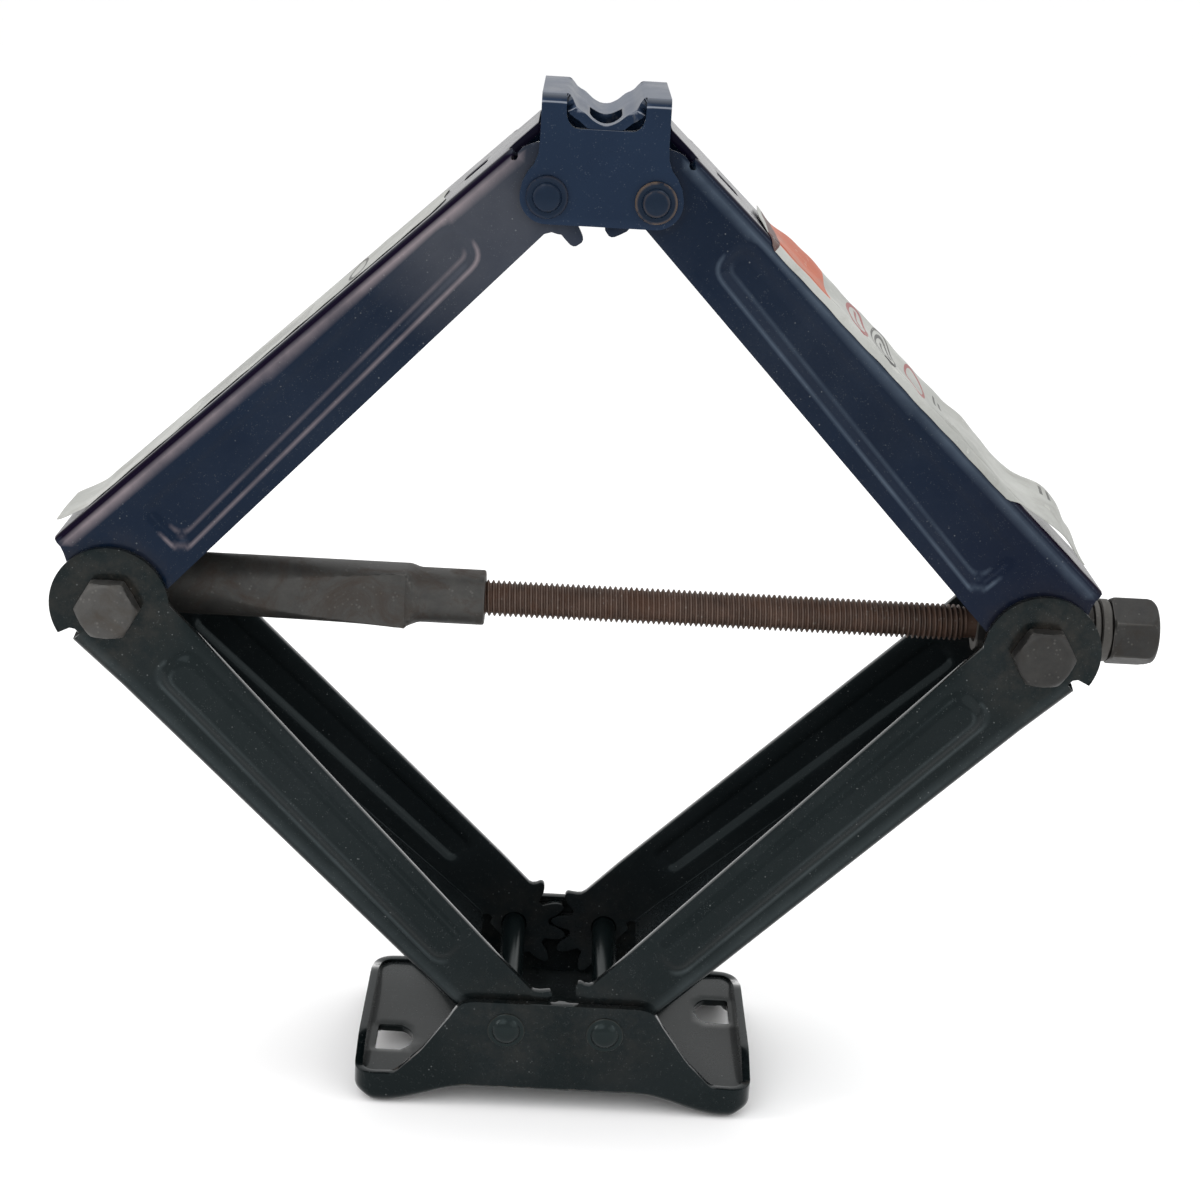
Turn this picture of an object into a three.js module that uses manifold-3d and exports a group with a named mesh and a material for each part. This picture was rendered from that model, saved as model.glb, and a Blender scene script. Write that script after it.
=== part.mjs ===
import * as THREE from 'three';
import { mergeVertices } from 'three/addons/utils/BufferGeometryUtils.js';
import Module from 'manifold-3d';

const wasm = await Module();
wasm.setup();

// Scissor jack, stored part-raised. Millimetres, +Z up, z = 0 on the floor, X along the lead screw.

const DEG = Math.PI / 180;
const GAP = 0.4;                   // running gap between neighbouring sheets

// linkage
const ARM_LENGTH = 190;            // pivot to pivot, all four arms
const PIVOT_HALF = 16.35;          // gear pivots either side of the middle
const REST_ANGLE = 45.9 * DEG;     // arm above horizontal
const BASE_PIVOT_Z = 29.6;
const SIDE_X = PIVOT_HALF + ARM_LENGTH * Math.cos(REST_ANGLE);
const SIDE_Z = BASE_PIVOT_Z + ARM_LENGTH * Math.sin(REST_ANGLE);
const HEAD_PIVOT_Z = SIDE_Z + ARM_LENGTH * Math.sin(REST_ANGLE);
const MIDDLE_X = -11.6;            // the linkage's middle, so the whole jack is centred on x = 0

// sheet channels
const SHEET = 2.5;
const UPPER_HALF = 25.1;           // half width over the upper arms' walls
const UPPER_INNER_EDGE = [-9.1, -7.9];
const UPPER_OUTER_EDGE = [27, 17.5];
const UPPER_EAR_R = 13;
const UPPER_WEB = [2, 188];
const UPPER_TONGUE = [187, 201];   // the web's narrower end between the head's cheeks
const UPPER_TONGUE_HALF = 18;
const LOWER_HALF = [28, 38.6];     // half width at the side pivots and at the base
const LOWER_BENDS = [22, 168];     // where the flare of the walls starts and ends
const LOWER_INNER_EDGE = [-14.3, -14.9];
const LOWER_OUTER_EDGE = [17.5, 7.7];
const LOWER_EAR_R = 19;
const LOWER_WEB = [6, 180];
const EMBOSS = 1.6;

// meshing tooth sectors, ten teeth to the full circle
const TOOTH_PITCH = 36;
const ROOT_R = 12.6;
const UPPER_TIP_R = 17.6;
const LOWER_TIP_R = 19.2;
const TOOTH_HALF_ANGLES = [[ROOT_R, 13.2], [14.4, 10.6], [16.35, 8.1], [17.6, 5.6], [18.4, 4.1], [LOWER_TIP_R, 2.2]];

// pivots and screw
const PIN_R = 4.3;
const PIN_HOLE_R = 4.6;
const BOLT_R = 5;
const BOLT_HOLE_R = 5.3;
const BOLT_HEAD_R = 10.3;          // across corners / 2
const BOLT_HEAD_H = 6.5;
const TRUNNION_R = 11;
const TRUNNION_HALF = 22.2;
const SCREW_R = 6;
const SCREW_PASSAGE_R = 6.6;
const SLEEVE_R = 10.2;
const SLEEVE_NECK_R = 9.1;
const SLEEVE_LENGTH = 118;
const SLEEVE_STEP = 95;

// base
const BASE_HALF_X = 66.6;
const BASE_HALF_Y = 42;
const BASE_SHEET = 3;
const PLATE_SHEET = 2.5;
const PLATE_TOP_Z = 10;
const RIM_TOP_Z = 16;
const FLANGE_TOP_Z = 39.5;

// load head
const HEAD_SHEET = 2.8;
const HEAD_TOP = 30.3;             // above the head pivots
const LUG_X = [11.8, 19.2];
const DIP_LOW = 22.4;

// ---------------------------------------------------------------- solids

function toManifold(geometry) {
  const bare = geometry.clone();
  bare.deleteAttribute('normal');
  bare.deleteAttribute('uv');
  const welded = mergeVertices(bare, 1e-4);
  return new wasm.Manifold(new wasm.Mesh({
    numProp: 3,
    vertProperties: new Float32Array(welded.attributes.position.array),
    triVerts: new Uint32Array(welded.index.array),
  }));
}

function toGeometry(solid) {
  const mesh = solid.getMesh();
  const geometry = new THREE.BufferGeometry();
  geometry.setAttribute('position', new THREE.BufferAttribute(new Float32Array(mesh.vertProperties), 3));
  geometry.setIndex(new THREE.BufferAttribute(new Uint32Array(mesh.triVerts), 1));
  return geometry;
}

function join(geometries) {
  return geometries.map(toManifold).reduce((a, b) => a.add(b));
}

function cut(solid, geometries) {
  return geometries.reduce((left, tool) => left.subtract(toManifold(tool)), solid);
}

// ---------------------------------------------------------------- outlines

function polar(centre, r, degrees) {
  return [centre[0] + r * Math.cos(degrees * DEG), centre[1] + r * Math.sin(degrees * DEG)];
}

function arc(centre, r, from, to, steps) {
  const points = [];
  for (let i = 0; i <= steps; i += 1) points.push(polar(centre, r, from + (to - from) * i / steps));
  return points;
}

function shapeOf(points, holes = []) {
  const shape = new THREE.Shape(points.map(([x, y]) => new THREE.Vector2(x, y)));
  shape.holes = holes.map((hole) => new THREE.Path(hole.map(([x, y]) => new THREE.Vector2(x, y))));
  return shape;
}

function circle(centre, r, steps = 28) {
  return arc(centre, r, 0, 360, steps).slice(0, steps);
}

// rounded outline: every corner of the polygon is replaced by a short arc-like run
function rounded(points, r, steps = 4) {
  const out = [];
  points.forEach((corner, i) => {
    const before = points[(i + points.length - 1) % points.length];
    const after = points[(i + 1) % points.length];
    const c = new THREE.Vector2(...corner);
    const toBefore = new THREE.Vector2(...before).sub(c);
    const toAfter = new THREE.Vector2(...after).sub(c);
    const reach = Math.min(r, toBefore.length() * 0.45, toAfter.length() * 0.45);
    const a = c.clone().addScaledVector(toBefore.normalize(), reach);
    const b = c.clone().addScaledVector(toAfter.normalize(), reach);
    const curve = new THREE.QuadraticBezierCurve(a, c, b);
    curve.getPoints(steps).forEach((p) => out.push([p.x, p.y]));
  });
  return out;
}

// plate in the XZ plane between two y values
function plate(shape, y0, y1) {
  const geometry = new THREE.ExtrudeGeometry(shape, { depth: y1 - y0, bevelEnabled: false });
  geometry.rotateX(Math.PI / 2);
  geometry.translate(0, y1, 0);
  return geometry;
}

// plate in the XY plane between two z values
function slab(shape, z0, z1) {
  const geometry = new THREE.ExtrudeGeometry(shape, { depth: z1 - z0, bevelEnabled: false });
  geometry.translate(0, 0, z0);
  return geometry;
}

// turned part: profile of [radius, height] along +Z
function turned(profile, segments = 32) {
  return new THREE.LatheGeometry(profile.map(([r, z]) => new THREE.Vector2(r, z)), segments).rotateX(Math.PI / 2);
}

function turnedAlongY(profile, segments) {
  return turned(profile, segments).rotateX(Math.PI / 2);
}

function turnedAlongX(profile, segments) {
  return turned(profile, segments).rotateY(Math.PI / 2);
}

function rod(r, from, to) {
  return [[0, from], [r, from], [r, to], [0, to]];
}

function ringProfile(inner, outer, from, to) {
  return [[inner, from], [outer, from], [outer, to], [inner, to], [inner, from]];
}

function boxBetween(low, high) {
  const size = low.map((v, i) => high[i] - v);
  const geometry = new THREE.BoxGeometry(...size);
  return geometry.translate(...low.map((v, i) => v + size[i] / 2));
}

// ---------------------------------------------------------------- arms
// Arm frame: x runs from the side pivot to the gear pivot, z points outward to the web.

function alongArm(edge, s) {
  return edge[0] + (edge[1] - edge[0]) * s / ARM_LENGTH;
}

// teeth from the first one on; lead is the edge that runs into its near flank
function toothSector(phase, lead, to, tipR) {
  const centre = [ARM_LENGTH, 0];
  const flank = TOOTH_HALF_ANGLES.filter(([r]) => r <= tipR);
  const points = lead.map(([s, n]) => [ARM_LENGTH + s, n]);
  const meets = Math.hypot(...lead[lead.length - 1]) + 0.4;
  let angle = null;
  for (let i = 0; i < 4; i += 1) {
    const middle = phase + i * TOOTH_PITCH;
    if (angle !== null) {
      const root = middle - flank[0][1];
      const run = arc(centre, ROOT_R, angle, root, Math.max(1, Math.round((root - angle) / 9)));
      points.push(...run.slice(0, -1));
    }
    const rise = angle === null ? flank.filter(([r]) => r > meets) : flank;
    rise.forEach(([r, half]) => points.push(polar(centre, r, middle - half)));
    [...flank].reverse().forEach(([r, half]) => points.push(polar(centre, r, middle + half)));
    points.pop();
    angle = middle + flank[0][1];
  }
  const rest = Math.max(1, Math.round((to - angle) / 9));
  if (to > angle) points.push(...arc(centre, ROOT_R, angle, to, rest));
  return points;
}

function upperWall({ phase, lead }) {
  const outline = [
    [16, alongArm(UPPER_INNER_EDGE, 16)],
    ...toothSector(phase, lead, 78, UPPER_TIP_R),
    [UPPER_WEB[1], alongArm(UPPER_OUTER_EDGE, UPPER_WEB[1])],
    [UPPER_WEB[0], alongArm(UPPER_OUTER_EDGE, UPPER_WEB[0])],
    [-1, 17.5],
    ...arc([0, 0], UPPER_EAR_R, 145, 290, 12),
  ];
  return shapeOf(outline, [circle([0, 0], BOLT_HOLE_R), circle([ARM_LENGTH, 0], PIN_HOLE_R)]);
}

function upperPanel(grow) {
  const corners = [
    [30 - grow, -2.4 - grow],
    [162 + grow, 2.4 - grow],
    [162 + grow, 11.9 + grow],
    [30 - grow, 14 + grow],
  ];
  return shapeOf(rounded(corners, 6));
}

function webBetween(range, edge) {
  const corners = range.map((s) => [s, alongArm(edge, s)]);
  return shapeOf([corners[0], corners[1], [range[1], corners[1][1] - SHEET], [range[0], corners[0][1] - SHEET]]);
}

function upperArm(walls) {
  const inner = UPPER_HALF - SHEET;
  const pieces = [
    plate(webBetween(UPPER_WEB, UPPER_OUTER_EDGE), -UPPER_HALF, UPPER_HALF),
    plate(webBetween(UPPER_TONGUE, UPPER_OUTER_EDGE), -UPPER_TONGUE_HALF, UPPER_TONGUE_HALF),
  ];
  const recesses = [];
  [-1, 1].forEach((side) => {
    const span = (a, b) => [Math.min(a * side, b * side), Math.max(a * side, b * side)];
    pieces.push(plate(upperWall(side < 0 ? walls.front : walls.rear), ...span(inner, UPPER_HALF)));
    pieces.push(plate(upperPanel(1.2), ...span(inner - EMBOSS, inner + 0.5)));
    recesses.push(plate(upperPanel(0), ...span(UPPER_HALF - EMBOSS, UPPER_HALF + 1)));
  });
  const webSlot = shapeOf(rounded([[171, -3.2], [181, -3.2], [181, 3.2], [171, 3.2]], 3));
  return cut(join(pieces), [...recesses, slab(webSlot, 8, 30)]);
}

function lowerWall({ phase, lead }) {
  const outline = [
    ...arc([0, 0], LOWER_EAR_R, 104, 311, 24),
    ...toothSector(phase, lead, 34, LOWER_TIP_R),
    [LOWER_WEB[1], alongArm(LOWER_OUTER_EDGE, LOWER_WEB[1])],
    [0, LOWER_OUTER_EDGE[0]],
    [-1.2, 15.6],
    [-3.4, 15.6],
  ];
  return shapeOf(outline, [circle([0, 0], BOLT_HOLE_R), circle([ARM_LENGTH, 0], PIN_HOLE_R)]);
}

function lowerBead(grow) {
  const corners = [
    [27 - grow, -8 - grow],
    [158 + grow, -10 - grow],
    [158 + grow, 0.5 + grow],
    [27 - grow, 4.5 + grow],
  ];
  return shapeOf(rounded(corners, 6));
}

function flare(s) {
  const [start, end] = LOWER_BENDS;
  const share = Math.min(Math.max((s - start) / (end - start), 0), 1);
  return (LOWER_HALF[1] - LOWER_HALF[0]) * share;
}

// bends a straight wall outward between the two bend lines
function flared(solid, side) {
  const stops = [-40, LOWER_BENDS[0], LOWER_BENDS[1], 240];
  const runs = [];
  for (let i = 0; i < 3; i += 1) {
    const room = toManifold(boxBetween([stops[i], -60, -60], [stops[i + 1], 60, 60]));
    const geometry = toGeometry(solid.intersect(room));
    const position = geometry.attributes.position;
    for (let v = 0; v < position.count; v += 1) {
      position.setY(v, position.getY(v) + side * flare(position.getX(v)));
    }
    runs.push(geometry);
  }
  return join(runs.filter((geometry) => geometry.attributes.position.count > 0));
}

function lowerWeb() {
  const half = (s) => LOWER_HALF[0] + flare(s);
  const stations = [LOWER_WEB[0], ...LOWER_BENDS, LOWER_WEB[1]];
  const near = stations.map((s) => [s, -half(s)]);
  const far = stations.map((s) => [s, half(s)]).reverse();
  const mouth = [[LOWER_WEB[0], 17], [14, 12], [14, -12], [LOWER_WEB[0], -17]];
  const geometry = slab(shapeOf([...near, ...far, ...mouth]), -SHEET, 0);
  const position = geometry.attributes.position;
  for (let v = 0; v < position.count; v += 1) {
    position.setZ(v, position.getZ(v) + alongArm(LOWER_OUTER_EDGE, position.getX(v)));
  }
  return geometry;
}

function lowerArm(walls) {
  let solid = toManifold(lowerWeb());
  [-1, 1].forEach((side) => {
    const outer = LOWER_HALF[0];
    const inner = outer - SHEET;
    const span = (a, b) => [Math.min(a * side, b * side), Math.max(a * side, b * side)];
    const raised = join([
      plate(lowerWall(side < 0 ? walls.front : walls.rear), ...span(inner, outer)),
      plate(lowerBead(0), ...span(outer - 0.5, outer + EMBOSS)),
    ]);
    const wall = cut(raised, [plate(lowerBead(-1.2), ...span(inner - 1, inner + EMBOSS))]);
    solid = solid.add(flared(wall, side));
  });
  return solid;
}

// puts an arm-frame geometry on one side (-1 left, 1 right) of the upper (1) or lower (-1) pair
function placeArm(geometry, side, level) {
  const c = Math.cos(REST_ANGLE);
  const s = Math.sin(REST_ANGLE);
  const matrix = new THREE.Matrix4().makeBasis(
    new THREE.Vector3(-side * c, 0, level * s),
    new THREE.Vector3(0, 1, 0),
    new THREE.Vector3(side * s, 0, level * c),
  );
  matrix.setPosition(side * SIDE_X, 0, SIDE_Z);
  geometry.applyMatrix4(matrix);
  if (matrix.determinant() < 0) turnInsideOut(geometry);
  return geometry;
}

function turnInsideOut(geometry) {
  const index = geometry.index.array;
  for (let i = 0; i < index.length; i += 3) [index[i], index[i + 1]] = [index[i + 1], index[i]];
}

// thin printed label lying on an upper arm's web
function label(from, to, half) {
  const outline = rounded([[from, -half], [to, -half], [to, half], [from, half]], 4);
  const geometry = slab(shapeOf(outline), 0.3, 0.8);
  const position = geometry.attributes.position;
  for (let v = 0; v < position.count; v += 1) {
    position.setZ(v, position.getZ(v) + alongArm(UPPER_OUTER_EDGE, position.getX(v)));
  }
  return toGeometry(toManifold(geometry));
}

// ---------------------------------------------------------------- pins and bolts

// two-headed rivet through both walls, along Y
function rivet(outerHalf, headR, headH) {
  const seat = outerHalf + 0.3;
  const half = [
    [PIN_R, seat],
    [headR, seat],
    [headR, seat + headH * 0.35],
    [headR * 0.82, seat + headH * 0.72],
    [headR * 0.68, seat + headH * 0.74],
    [headR * 0.45, seat + headH * 0.95],
    [0, seat + headH],
  ];
  const profile = [...half.map(([r, y]) => [r, -y]).reverse(), ...half];
  return turnedAlongY(profile, 28);
}

function hexPrism(acrossCornersR, from, to) {
  return slab(shapeOf(circle([0, 0], acrossCornersR, 6)), from, to);
}

// hexagon bolt whose head stands on a lower arm's ear; side is the wall it enters from
function pivotBolt(side) {
  const seat = LOWER_HALF[0] + 0.3;
  const top = seat + BOLT_HEAD_H;
  const chamfer = turned([[0, seat], [12, seat], [12, top - 2.6], [BOLT_HEAD_R * 0.86, top], [0, top]], 36);
  const head = toManifold(hexPrism(BOLT_HEAD_R, seat, top)).intersect(toManifold(chamfer));
  const solid = head.add(toManifold(turned(rod(BOLT_R, 9.5, seat + 1))));
  return toGeometry(solid).rotateX(side < 0 ? Math.PI / 2 : -Math.PI / 2);
}

// ---------------------------------------------------------------- trunnions and screw

function trunnionNut() {
  const sleeve = turnedAlongX([
    [0, 0],
    [SLEEVE_R, 0],
    [SLEEVE_R, SLEEVE_STEP - 2],
    [SLEEVE_NECK_R, SLEEVE_STEP + 1],
    [SLEEVE_NECK_R, SLEEVE_LENGTH - 0.8],
    [SLEEVE_NECK_R - 0.8, SLEEVE_LENGTH],
    [0, SLEEVE_LENGTH],
  ]);
  const cross = turnedAlongY(rod(TRUNNION_R, -TRUNNION_HALF, TRUNNION_HALF));
  const bores = [
    turnedAlongX(rod(SCREW_PASSAGE_R, -20, SLEEVE_LENGTH + 5)),
    turnedAlongY(rod(BOLT_HOLE_R, -30, -9)),
    turnedAlongY(rod(BOLT_HOLE_R, 9, 30)),
    boxBetween([48, -20, -20], [92, -8.4, 20]),
  ];
  return toGeometry(cut(join([sleeve, cross]), bores));
}

function trunnionBlock() {
  const cross = turnedAlongY(rod(TRUNNION_R, -TRUNNION_HALF, TRUNNION_HALF));
  const boss = turnedAlongX(rod(9.8, 0, 16));
  const bores = [
    turnedAlongX(rod(SCREW_PASSAGE_R, -20, 20)),
    turnedAlongY(rod(BOLT_HOLE_R, -30, -9)),
    turnedAlongY(rod(BOLT_HOLE_R, 9, 30)),
  ];
  return toGeometry(cut(join([cross, boss]), bores));
}

function driveHex() {
  const hex = hexPrism(11.6, 26.7, 42.2).rotateZ(Math.PI / 6);
  const rim = turned([[0, 26.7], [12, 26.7], [12, 39], [9.6, 42.2], [0, 42.2]], 36);
  const socket = turned(rod(6.2, 26, 39.4));
  const solid = toManifold(hex).intersect(toManifold(rim)).subtract(toManifold(socket));
  return toGeometry(solid).rotateY(Math.PI / 2);
}

// ---------------------------------------------------------------- base and head

function baseFlange() {
  const half = [[27, FLANGE_TOP_Z], [31, 37.8], [34.8, 33.2], [44.5, 20], [52.5, 10.6], [62, 9.6], [65.8, 7.6],
    [BASE_HALF_X, 4.6], [64.4, 1.2], [60, 0], [47, 0], [37, 4.4], [27, PLATE_TOP_Z - PLATE_SHEET]];
  const mirrored = half.map(([x, z]) => [-x, z]).reverse();
  const holes = [-1, 1].map((side) => circle([side * PIVOT_HALF, BASE_PIVOT_Z], PIN_HOLE_R));
  return shapeOf([...half.reverse(), ...mirrored.reverse()], holes);
}

// hole with a flat side outward and a blunt nose inward
function dHole(x, y, side) {
  const nose = arc([0, 0], 1, -68, 68, 10).map(([u, v]) => [x + side * 6.3 * u, y + 8.7 * v]);
  return [[x - side * 6, y - 8.1], ...nose, [x - side * 6, y + 8.1]];
}

// pressed foot under the plate, open towards the middle
function foot(side, end) {
  const spot = ([x, y]) => [x * side, y * end];
  const outer = rounded([[43, 33.5], [61.5, 33.5], [61.5, 41], [43, 41]].map(spot), 3);
  const pocket = [[40, 30], [58.5, 30], [58.5, 38.5], [40, 38.5]].map(spot);
  return {
    cup: slab(shapeOf(outer), 0, PLATE_TOP_Z - 1),
    pocket: slab(shapeOf(pocket), BASE_SHEET, PLATE_TOP_Z - PLATE_SHEET),
  };
}

function basePlate() {
  const outer = rounded([[-BASE_HALF_X, -40], [BASE_HALF_X, -40], [BASE_HALF_X, 40], [-BASE_HALF_X, 40]], 6);
  const floorPlate = shapeOf(outer, [dHole(-55, -15, 1), dHole(56, 14.2, -1)]);
  const pieces = [slab(floorPlate, PLATE_TOP_Z - PLATE_SHEET, PLATE_TOP_Z)];
  [-1, 1].forEach((side) => {
    const rimX = [side * BASE_HALF_X, side * (BASE_HALF_X - SHEET)];
    pieces.push(boxBetween([Math.min(...rimX), -37, 8.5], [Math.max(...rimX), 37, RIM_TOP_Z]));
    [-1, 1].forEach((end) => {
      const { cup, pocket } = foot(side, end);
      pieces.push(toGeometry(cut(toManifold(cup), [pocket])));
    });
  });
  const pressed = join(pieces);
  const flanges = [-1, 1].map((side) => {
    const y = [side * BASE_HALF_Y, side * (BASE_HALF_Y - BASE_SHEET)];
    return plate(baseFlange(), Math.min(...y), Math.max(...y));
  });
  return toGeometry(pressed.add(join(flanges)));
}

function headCheek() {
  const lobes = [
    ...arc([-PIVOT_HALF, 0], 8.2, 165, 265, 8),
    ...arc([PIVOT_HALF, 0], 8.2, 275, 375, 8),
  ];
  const outline = [
    ...lobes,
    [19.2, 22],
    [19.2, HEAD_TOP - 1],
    [12, HEAD_TOP - 1],
    [11.5, 22.5],
    [9.5, 20.4],
    [-9.5, 20.4],
    [-11.5, 22.5],
    [-12, HEAD_TOP - 1],
    [-19.2, HEAD_TOP - 1],
    [-19.2, 22],
  ];
  const holes = [-1, 1].map((side) => circle([side * PIVOT_HALF, 0], PIN_HOLE_R));
  return shapeOf(outline, holes);
}

function saddleProfile() {
  const dipWidth = LUG_X[0] - 1;
  const steps = 10;
  const top = [];
  for (let i = 0; i <= steps; i += 1) {
    const x = -dipWidth + 2 * dipWidth * i / steps;
    const sag = 0.5 + 0.5 * Math.cos(Math.PI * x / dipWidth);
    top.push([x, HEAD_TOP - (HEAD_TOP - DIP_LOW) * sag]);
  }
  const under = top.map(([x, z]) => [x, z - HEAD_SHEET]).reverse();
  return shapeOf([
    [-LUG_X[1], HEAD_TOP - HEAD_SHEET],
    [-LUG_X[1], HEAD_TOP],
    ...top,
    [LUG_X[1], HEAD_TOP],
    [LUG_X[1], HEAD_TOP - HEAD_SHEET],
    ...under,
  ].reverse());
}

function loadHead() {
  const inner = UPPER_HALF + GAP;
  const outer = inner + HEAD_SHEET;
  const pieces = [plate(saddleProfile(), -outer, outer)];
  [-1, 1].forEach((side) => {
    pieces.push(plate(headCheek(), Math.min(side * inner, side * outer), Math.max(side * inner, side * outer)));
  });
  const locator = rounded([[-4.9, -22], [4.9, -22], [4.9, -3], [-4.9, -3]], 4.8);
  return toGeometry(cut(join(pieces), [slab(shapeOf(locator), 10, HEAD_TOP + 2)]));
}

// ---------------------------------------------------------------- assembly

const PAINT = { color: 0x171c26, roughness: 0.35, metalness: 0.1 };
const LOWER_PAINT = { color: 0x1b2222, roughness: 0.45, metalness: 0.1 };
const STEEL = { color: 0x4b4a48, roughness: 0.55, metalness: 0.8 };
const RUST = { color: 0x5a4438, roughness: 0.7, metalness: 0.6 };
const PAPER = { color: 0xd8d6d0, roughness: 0.6, metalness: 0 };

const jack = new THREE.Group();
jack.name = 'scissor_jack';

function put(name, geometry, look, x = 0, z = 0) {
  geometry.translate(x + MIDDLE_X, 0, z);
  const flat = geometry.toNonIndexed();
  flat.computeVertexNormals();
  const mesh = new THREE.Mesh(flat, new THREE.MeshStandardMaterial(look));
  mesh.name = name;
  jack.add(mesh);
}

put('base_plate', basePlate(), LOWER_PAINT);
put('load_head', loadHead(), PAINT, 0, HEAD_PIVOT_Z);

// The arms of a pair are one part turned half round, so the front wall's teeth on one side are the
// rear wall's on the other, half a pitch apart. lead runs from the arm's edge into the first tooth.
const UPPER_EARLY = { phase: -100, lead: [[-8.6, -7.9], [-6.6, -9], [-5.7, -10.6]] };
const UPPER_LATE = { phase: -82, lead: [[-3.2, -7.9], [-1.8, -8.9], [-1, -10.8]] };
const LOWER_EARLY = { phase: -105.5, lead: [[-8.4, -14.9], [-7.2, -15.4]] };
const LOWER_LATE = { phase: -87.5, lead: [[-5, -14.9], [-3.2, -15.3], [-2, -16.3]] };
const SIDES = [
  {
    side: -1,
    tag: 'left',
    upper: { front: UPPER_EARLY, rear: UPPER_LATE },
    lower: { front: LOWER_LATE, rear: LOWER_EARLY },
  },
  {
    side: 1,
    tag: 'right',
    upper: { front: UPPER_LATE, rear: UPPER_EARLY },
    lower: { front: LOWER_EARLY, rear: LOWER_LATE },
  },
];
const LABELS = { left: [4, 165, 19], right: [12, 163, 21] };

SIDES.forEach(({ side, tag, upper, lower }) => {
  put(`lower_arm_${tag}`, placeArm(toGeometry(lowerArm(lower)), side, -1), LOWER_PAINT);
  put(`upper_arm_${tag}`, placeArm(toGeometry(upperArm(upper)), side, 1), PAINT);
  put(`label_${tag}`, placeArm(label(...LABELS[tag]), side, 1), PAPER);
  put(`base_pin_${tag}`, rivet(BASE_HALF_Y, 5.9, 2.6), LOWER_PAINT, side * PIVOT_HALF, BASE_PIVOT_Z);
  const headOuter = UPPER_HALF + GAP + HEAD_SHEET;
  put(`head_pin_${tag}`, rivet(headOuter, 6.9, 3), PAINT, side * PIVOT_HALF, HEAD_PIVOT_Z);
  put(`pivot_bolt_${tag}_front`, pivotBolt(-1), STEEL, side * SIDE_X, SIDE_Z);
  put(`pivot_bolt_${tag}_rear`, pivotBolt(1), STEEL, side * SIDE_X, SIDE_Z);
});

put('trunnion_nut', trunnionNut(), STEEL, -SIDE_X, SIDE_Z);
put('trunnion_block', trunnionBlock(), STEEL, SIDE_X, SIDE_Z);
put('lead_screw', turnedAlongX([[0, -291], [4.6, -291], [SCREW_R, -289], [SCREW_R, 39], [0, 39]]), RUST, SIDE_X, SIDE_Z);
put('screw_collar', turnedAlongX(ringProfile(SCREW_R + 0.2, 9.4, -17.5, -11.6)), STEEL, SIDE_X, SIDE_Z);
put('thrust_bearing', turnedAlongX(ringProfile(SCREW_R + 0.3, 10, 16.3, 22.8)), STEEL, SIDE_X, SIDE_Z);
put('drive_washer', turnedAlongX(ringProfile(SCREW_R + 0.2, 10.4, 23.1, 26.4)), STEEL, SIDE_X, SIDE_Z);
put('drive_hex', driveHex(), STEEL, SIDE_X, SIDE_Z);

export default jack;
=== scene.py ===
import math

import bpy
import numpy as np
from mathutils import Matrix, Vector
from mathutils.geometry import delaunay_2d_cdt


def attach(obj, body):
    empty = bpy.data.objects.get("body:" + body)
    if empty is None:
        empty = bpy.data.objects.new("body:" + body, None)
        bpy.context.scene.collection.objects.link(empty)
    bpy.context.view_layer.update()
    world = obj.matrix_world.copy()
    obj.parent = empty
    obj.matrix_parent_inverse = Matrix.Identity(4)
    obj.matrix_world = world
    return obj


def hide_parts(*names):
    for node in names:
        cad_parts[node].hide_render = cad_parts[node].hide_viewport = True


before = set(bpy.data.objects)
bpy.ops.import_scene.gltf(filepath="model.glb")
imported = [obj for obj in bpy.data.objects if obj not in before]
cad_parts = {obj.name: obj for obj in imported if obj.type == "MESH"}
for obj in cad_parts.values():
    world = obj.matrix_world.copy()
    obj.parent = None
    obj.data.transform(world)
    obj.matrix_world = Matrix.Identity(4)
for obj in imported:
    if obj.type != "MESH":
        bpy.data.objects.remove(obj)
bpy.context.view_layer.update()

MM = 0.001
DEG = math.pi / 180

# ---------------- dimensions, in mm

ARM = 190.0                      # pivot to pivot
PIVOT_HALF = 16.35
REST = 45.9 * DEG
BASE_Z = 29.6
SIDE_X = PIVOT_HALF + ARM * math.cos(REST)
SIDE_Z = BASE_Z + ARM * math.sin(REST)
HEAD_Z = SIDE_Z + ARM * math.sin(REST)
MIDDLE_X = -11.6

SHEET = 2.5
UPPER_HALF = 25.1
UPPER_IN = (-9.1, -7.9)
UPPER_OUT = (27.0, 17.5)
LOWER_HALF = (28.0, 38.6)
LOWER_BENDS = (22.0, 168.0)
LOWER_OUT = (17.5, 7.7)
TOOTH_PITCH = 36.0
ROOT_R = 12.6
UPPER_TOOTH = ((ROOT_R, 13.2), (14.4, 10.6), (16.35, 8.1), (17.2, 6.0), (17.6, 3.2))
LOWER_TOOTH = ((ROOT_R, 13.2), (14.4, 10.6), (16.35, 8.1), (17.8, 5.4), (18.9, 2.8), (19.2, 1.0))
FOLD = 3.0                       # outer radius where a wall turns into the web
BASE_HALF = (66.6, 42.0)
BASE_SHEET = 2.6
PLATE_TOP = 10.0

# ---------------- camera and light


def new_object(name, data):
    made = bpy.data.objects.new(name, data)
    bpy.context.scene.collection.objects.link(made)
    return made


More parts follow.
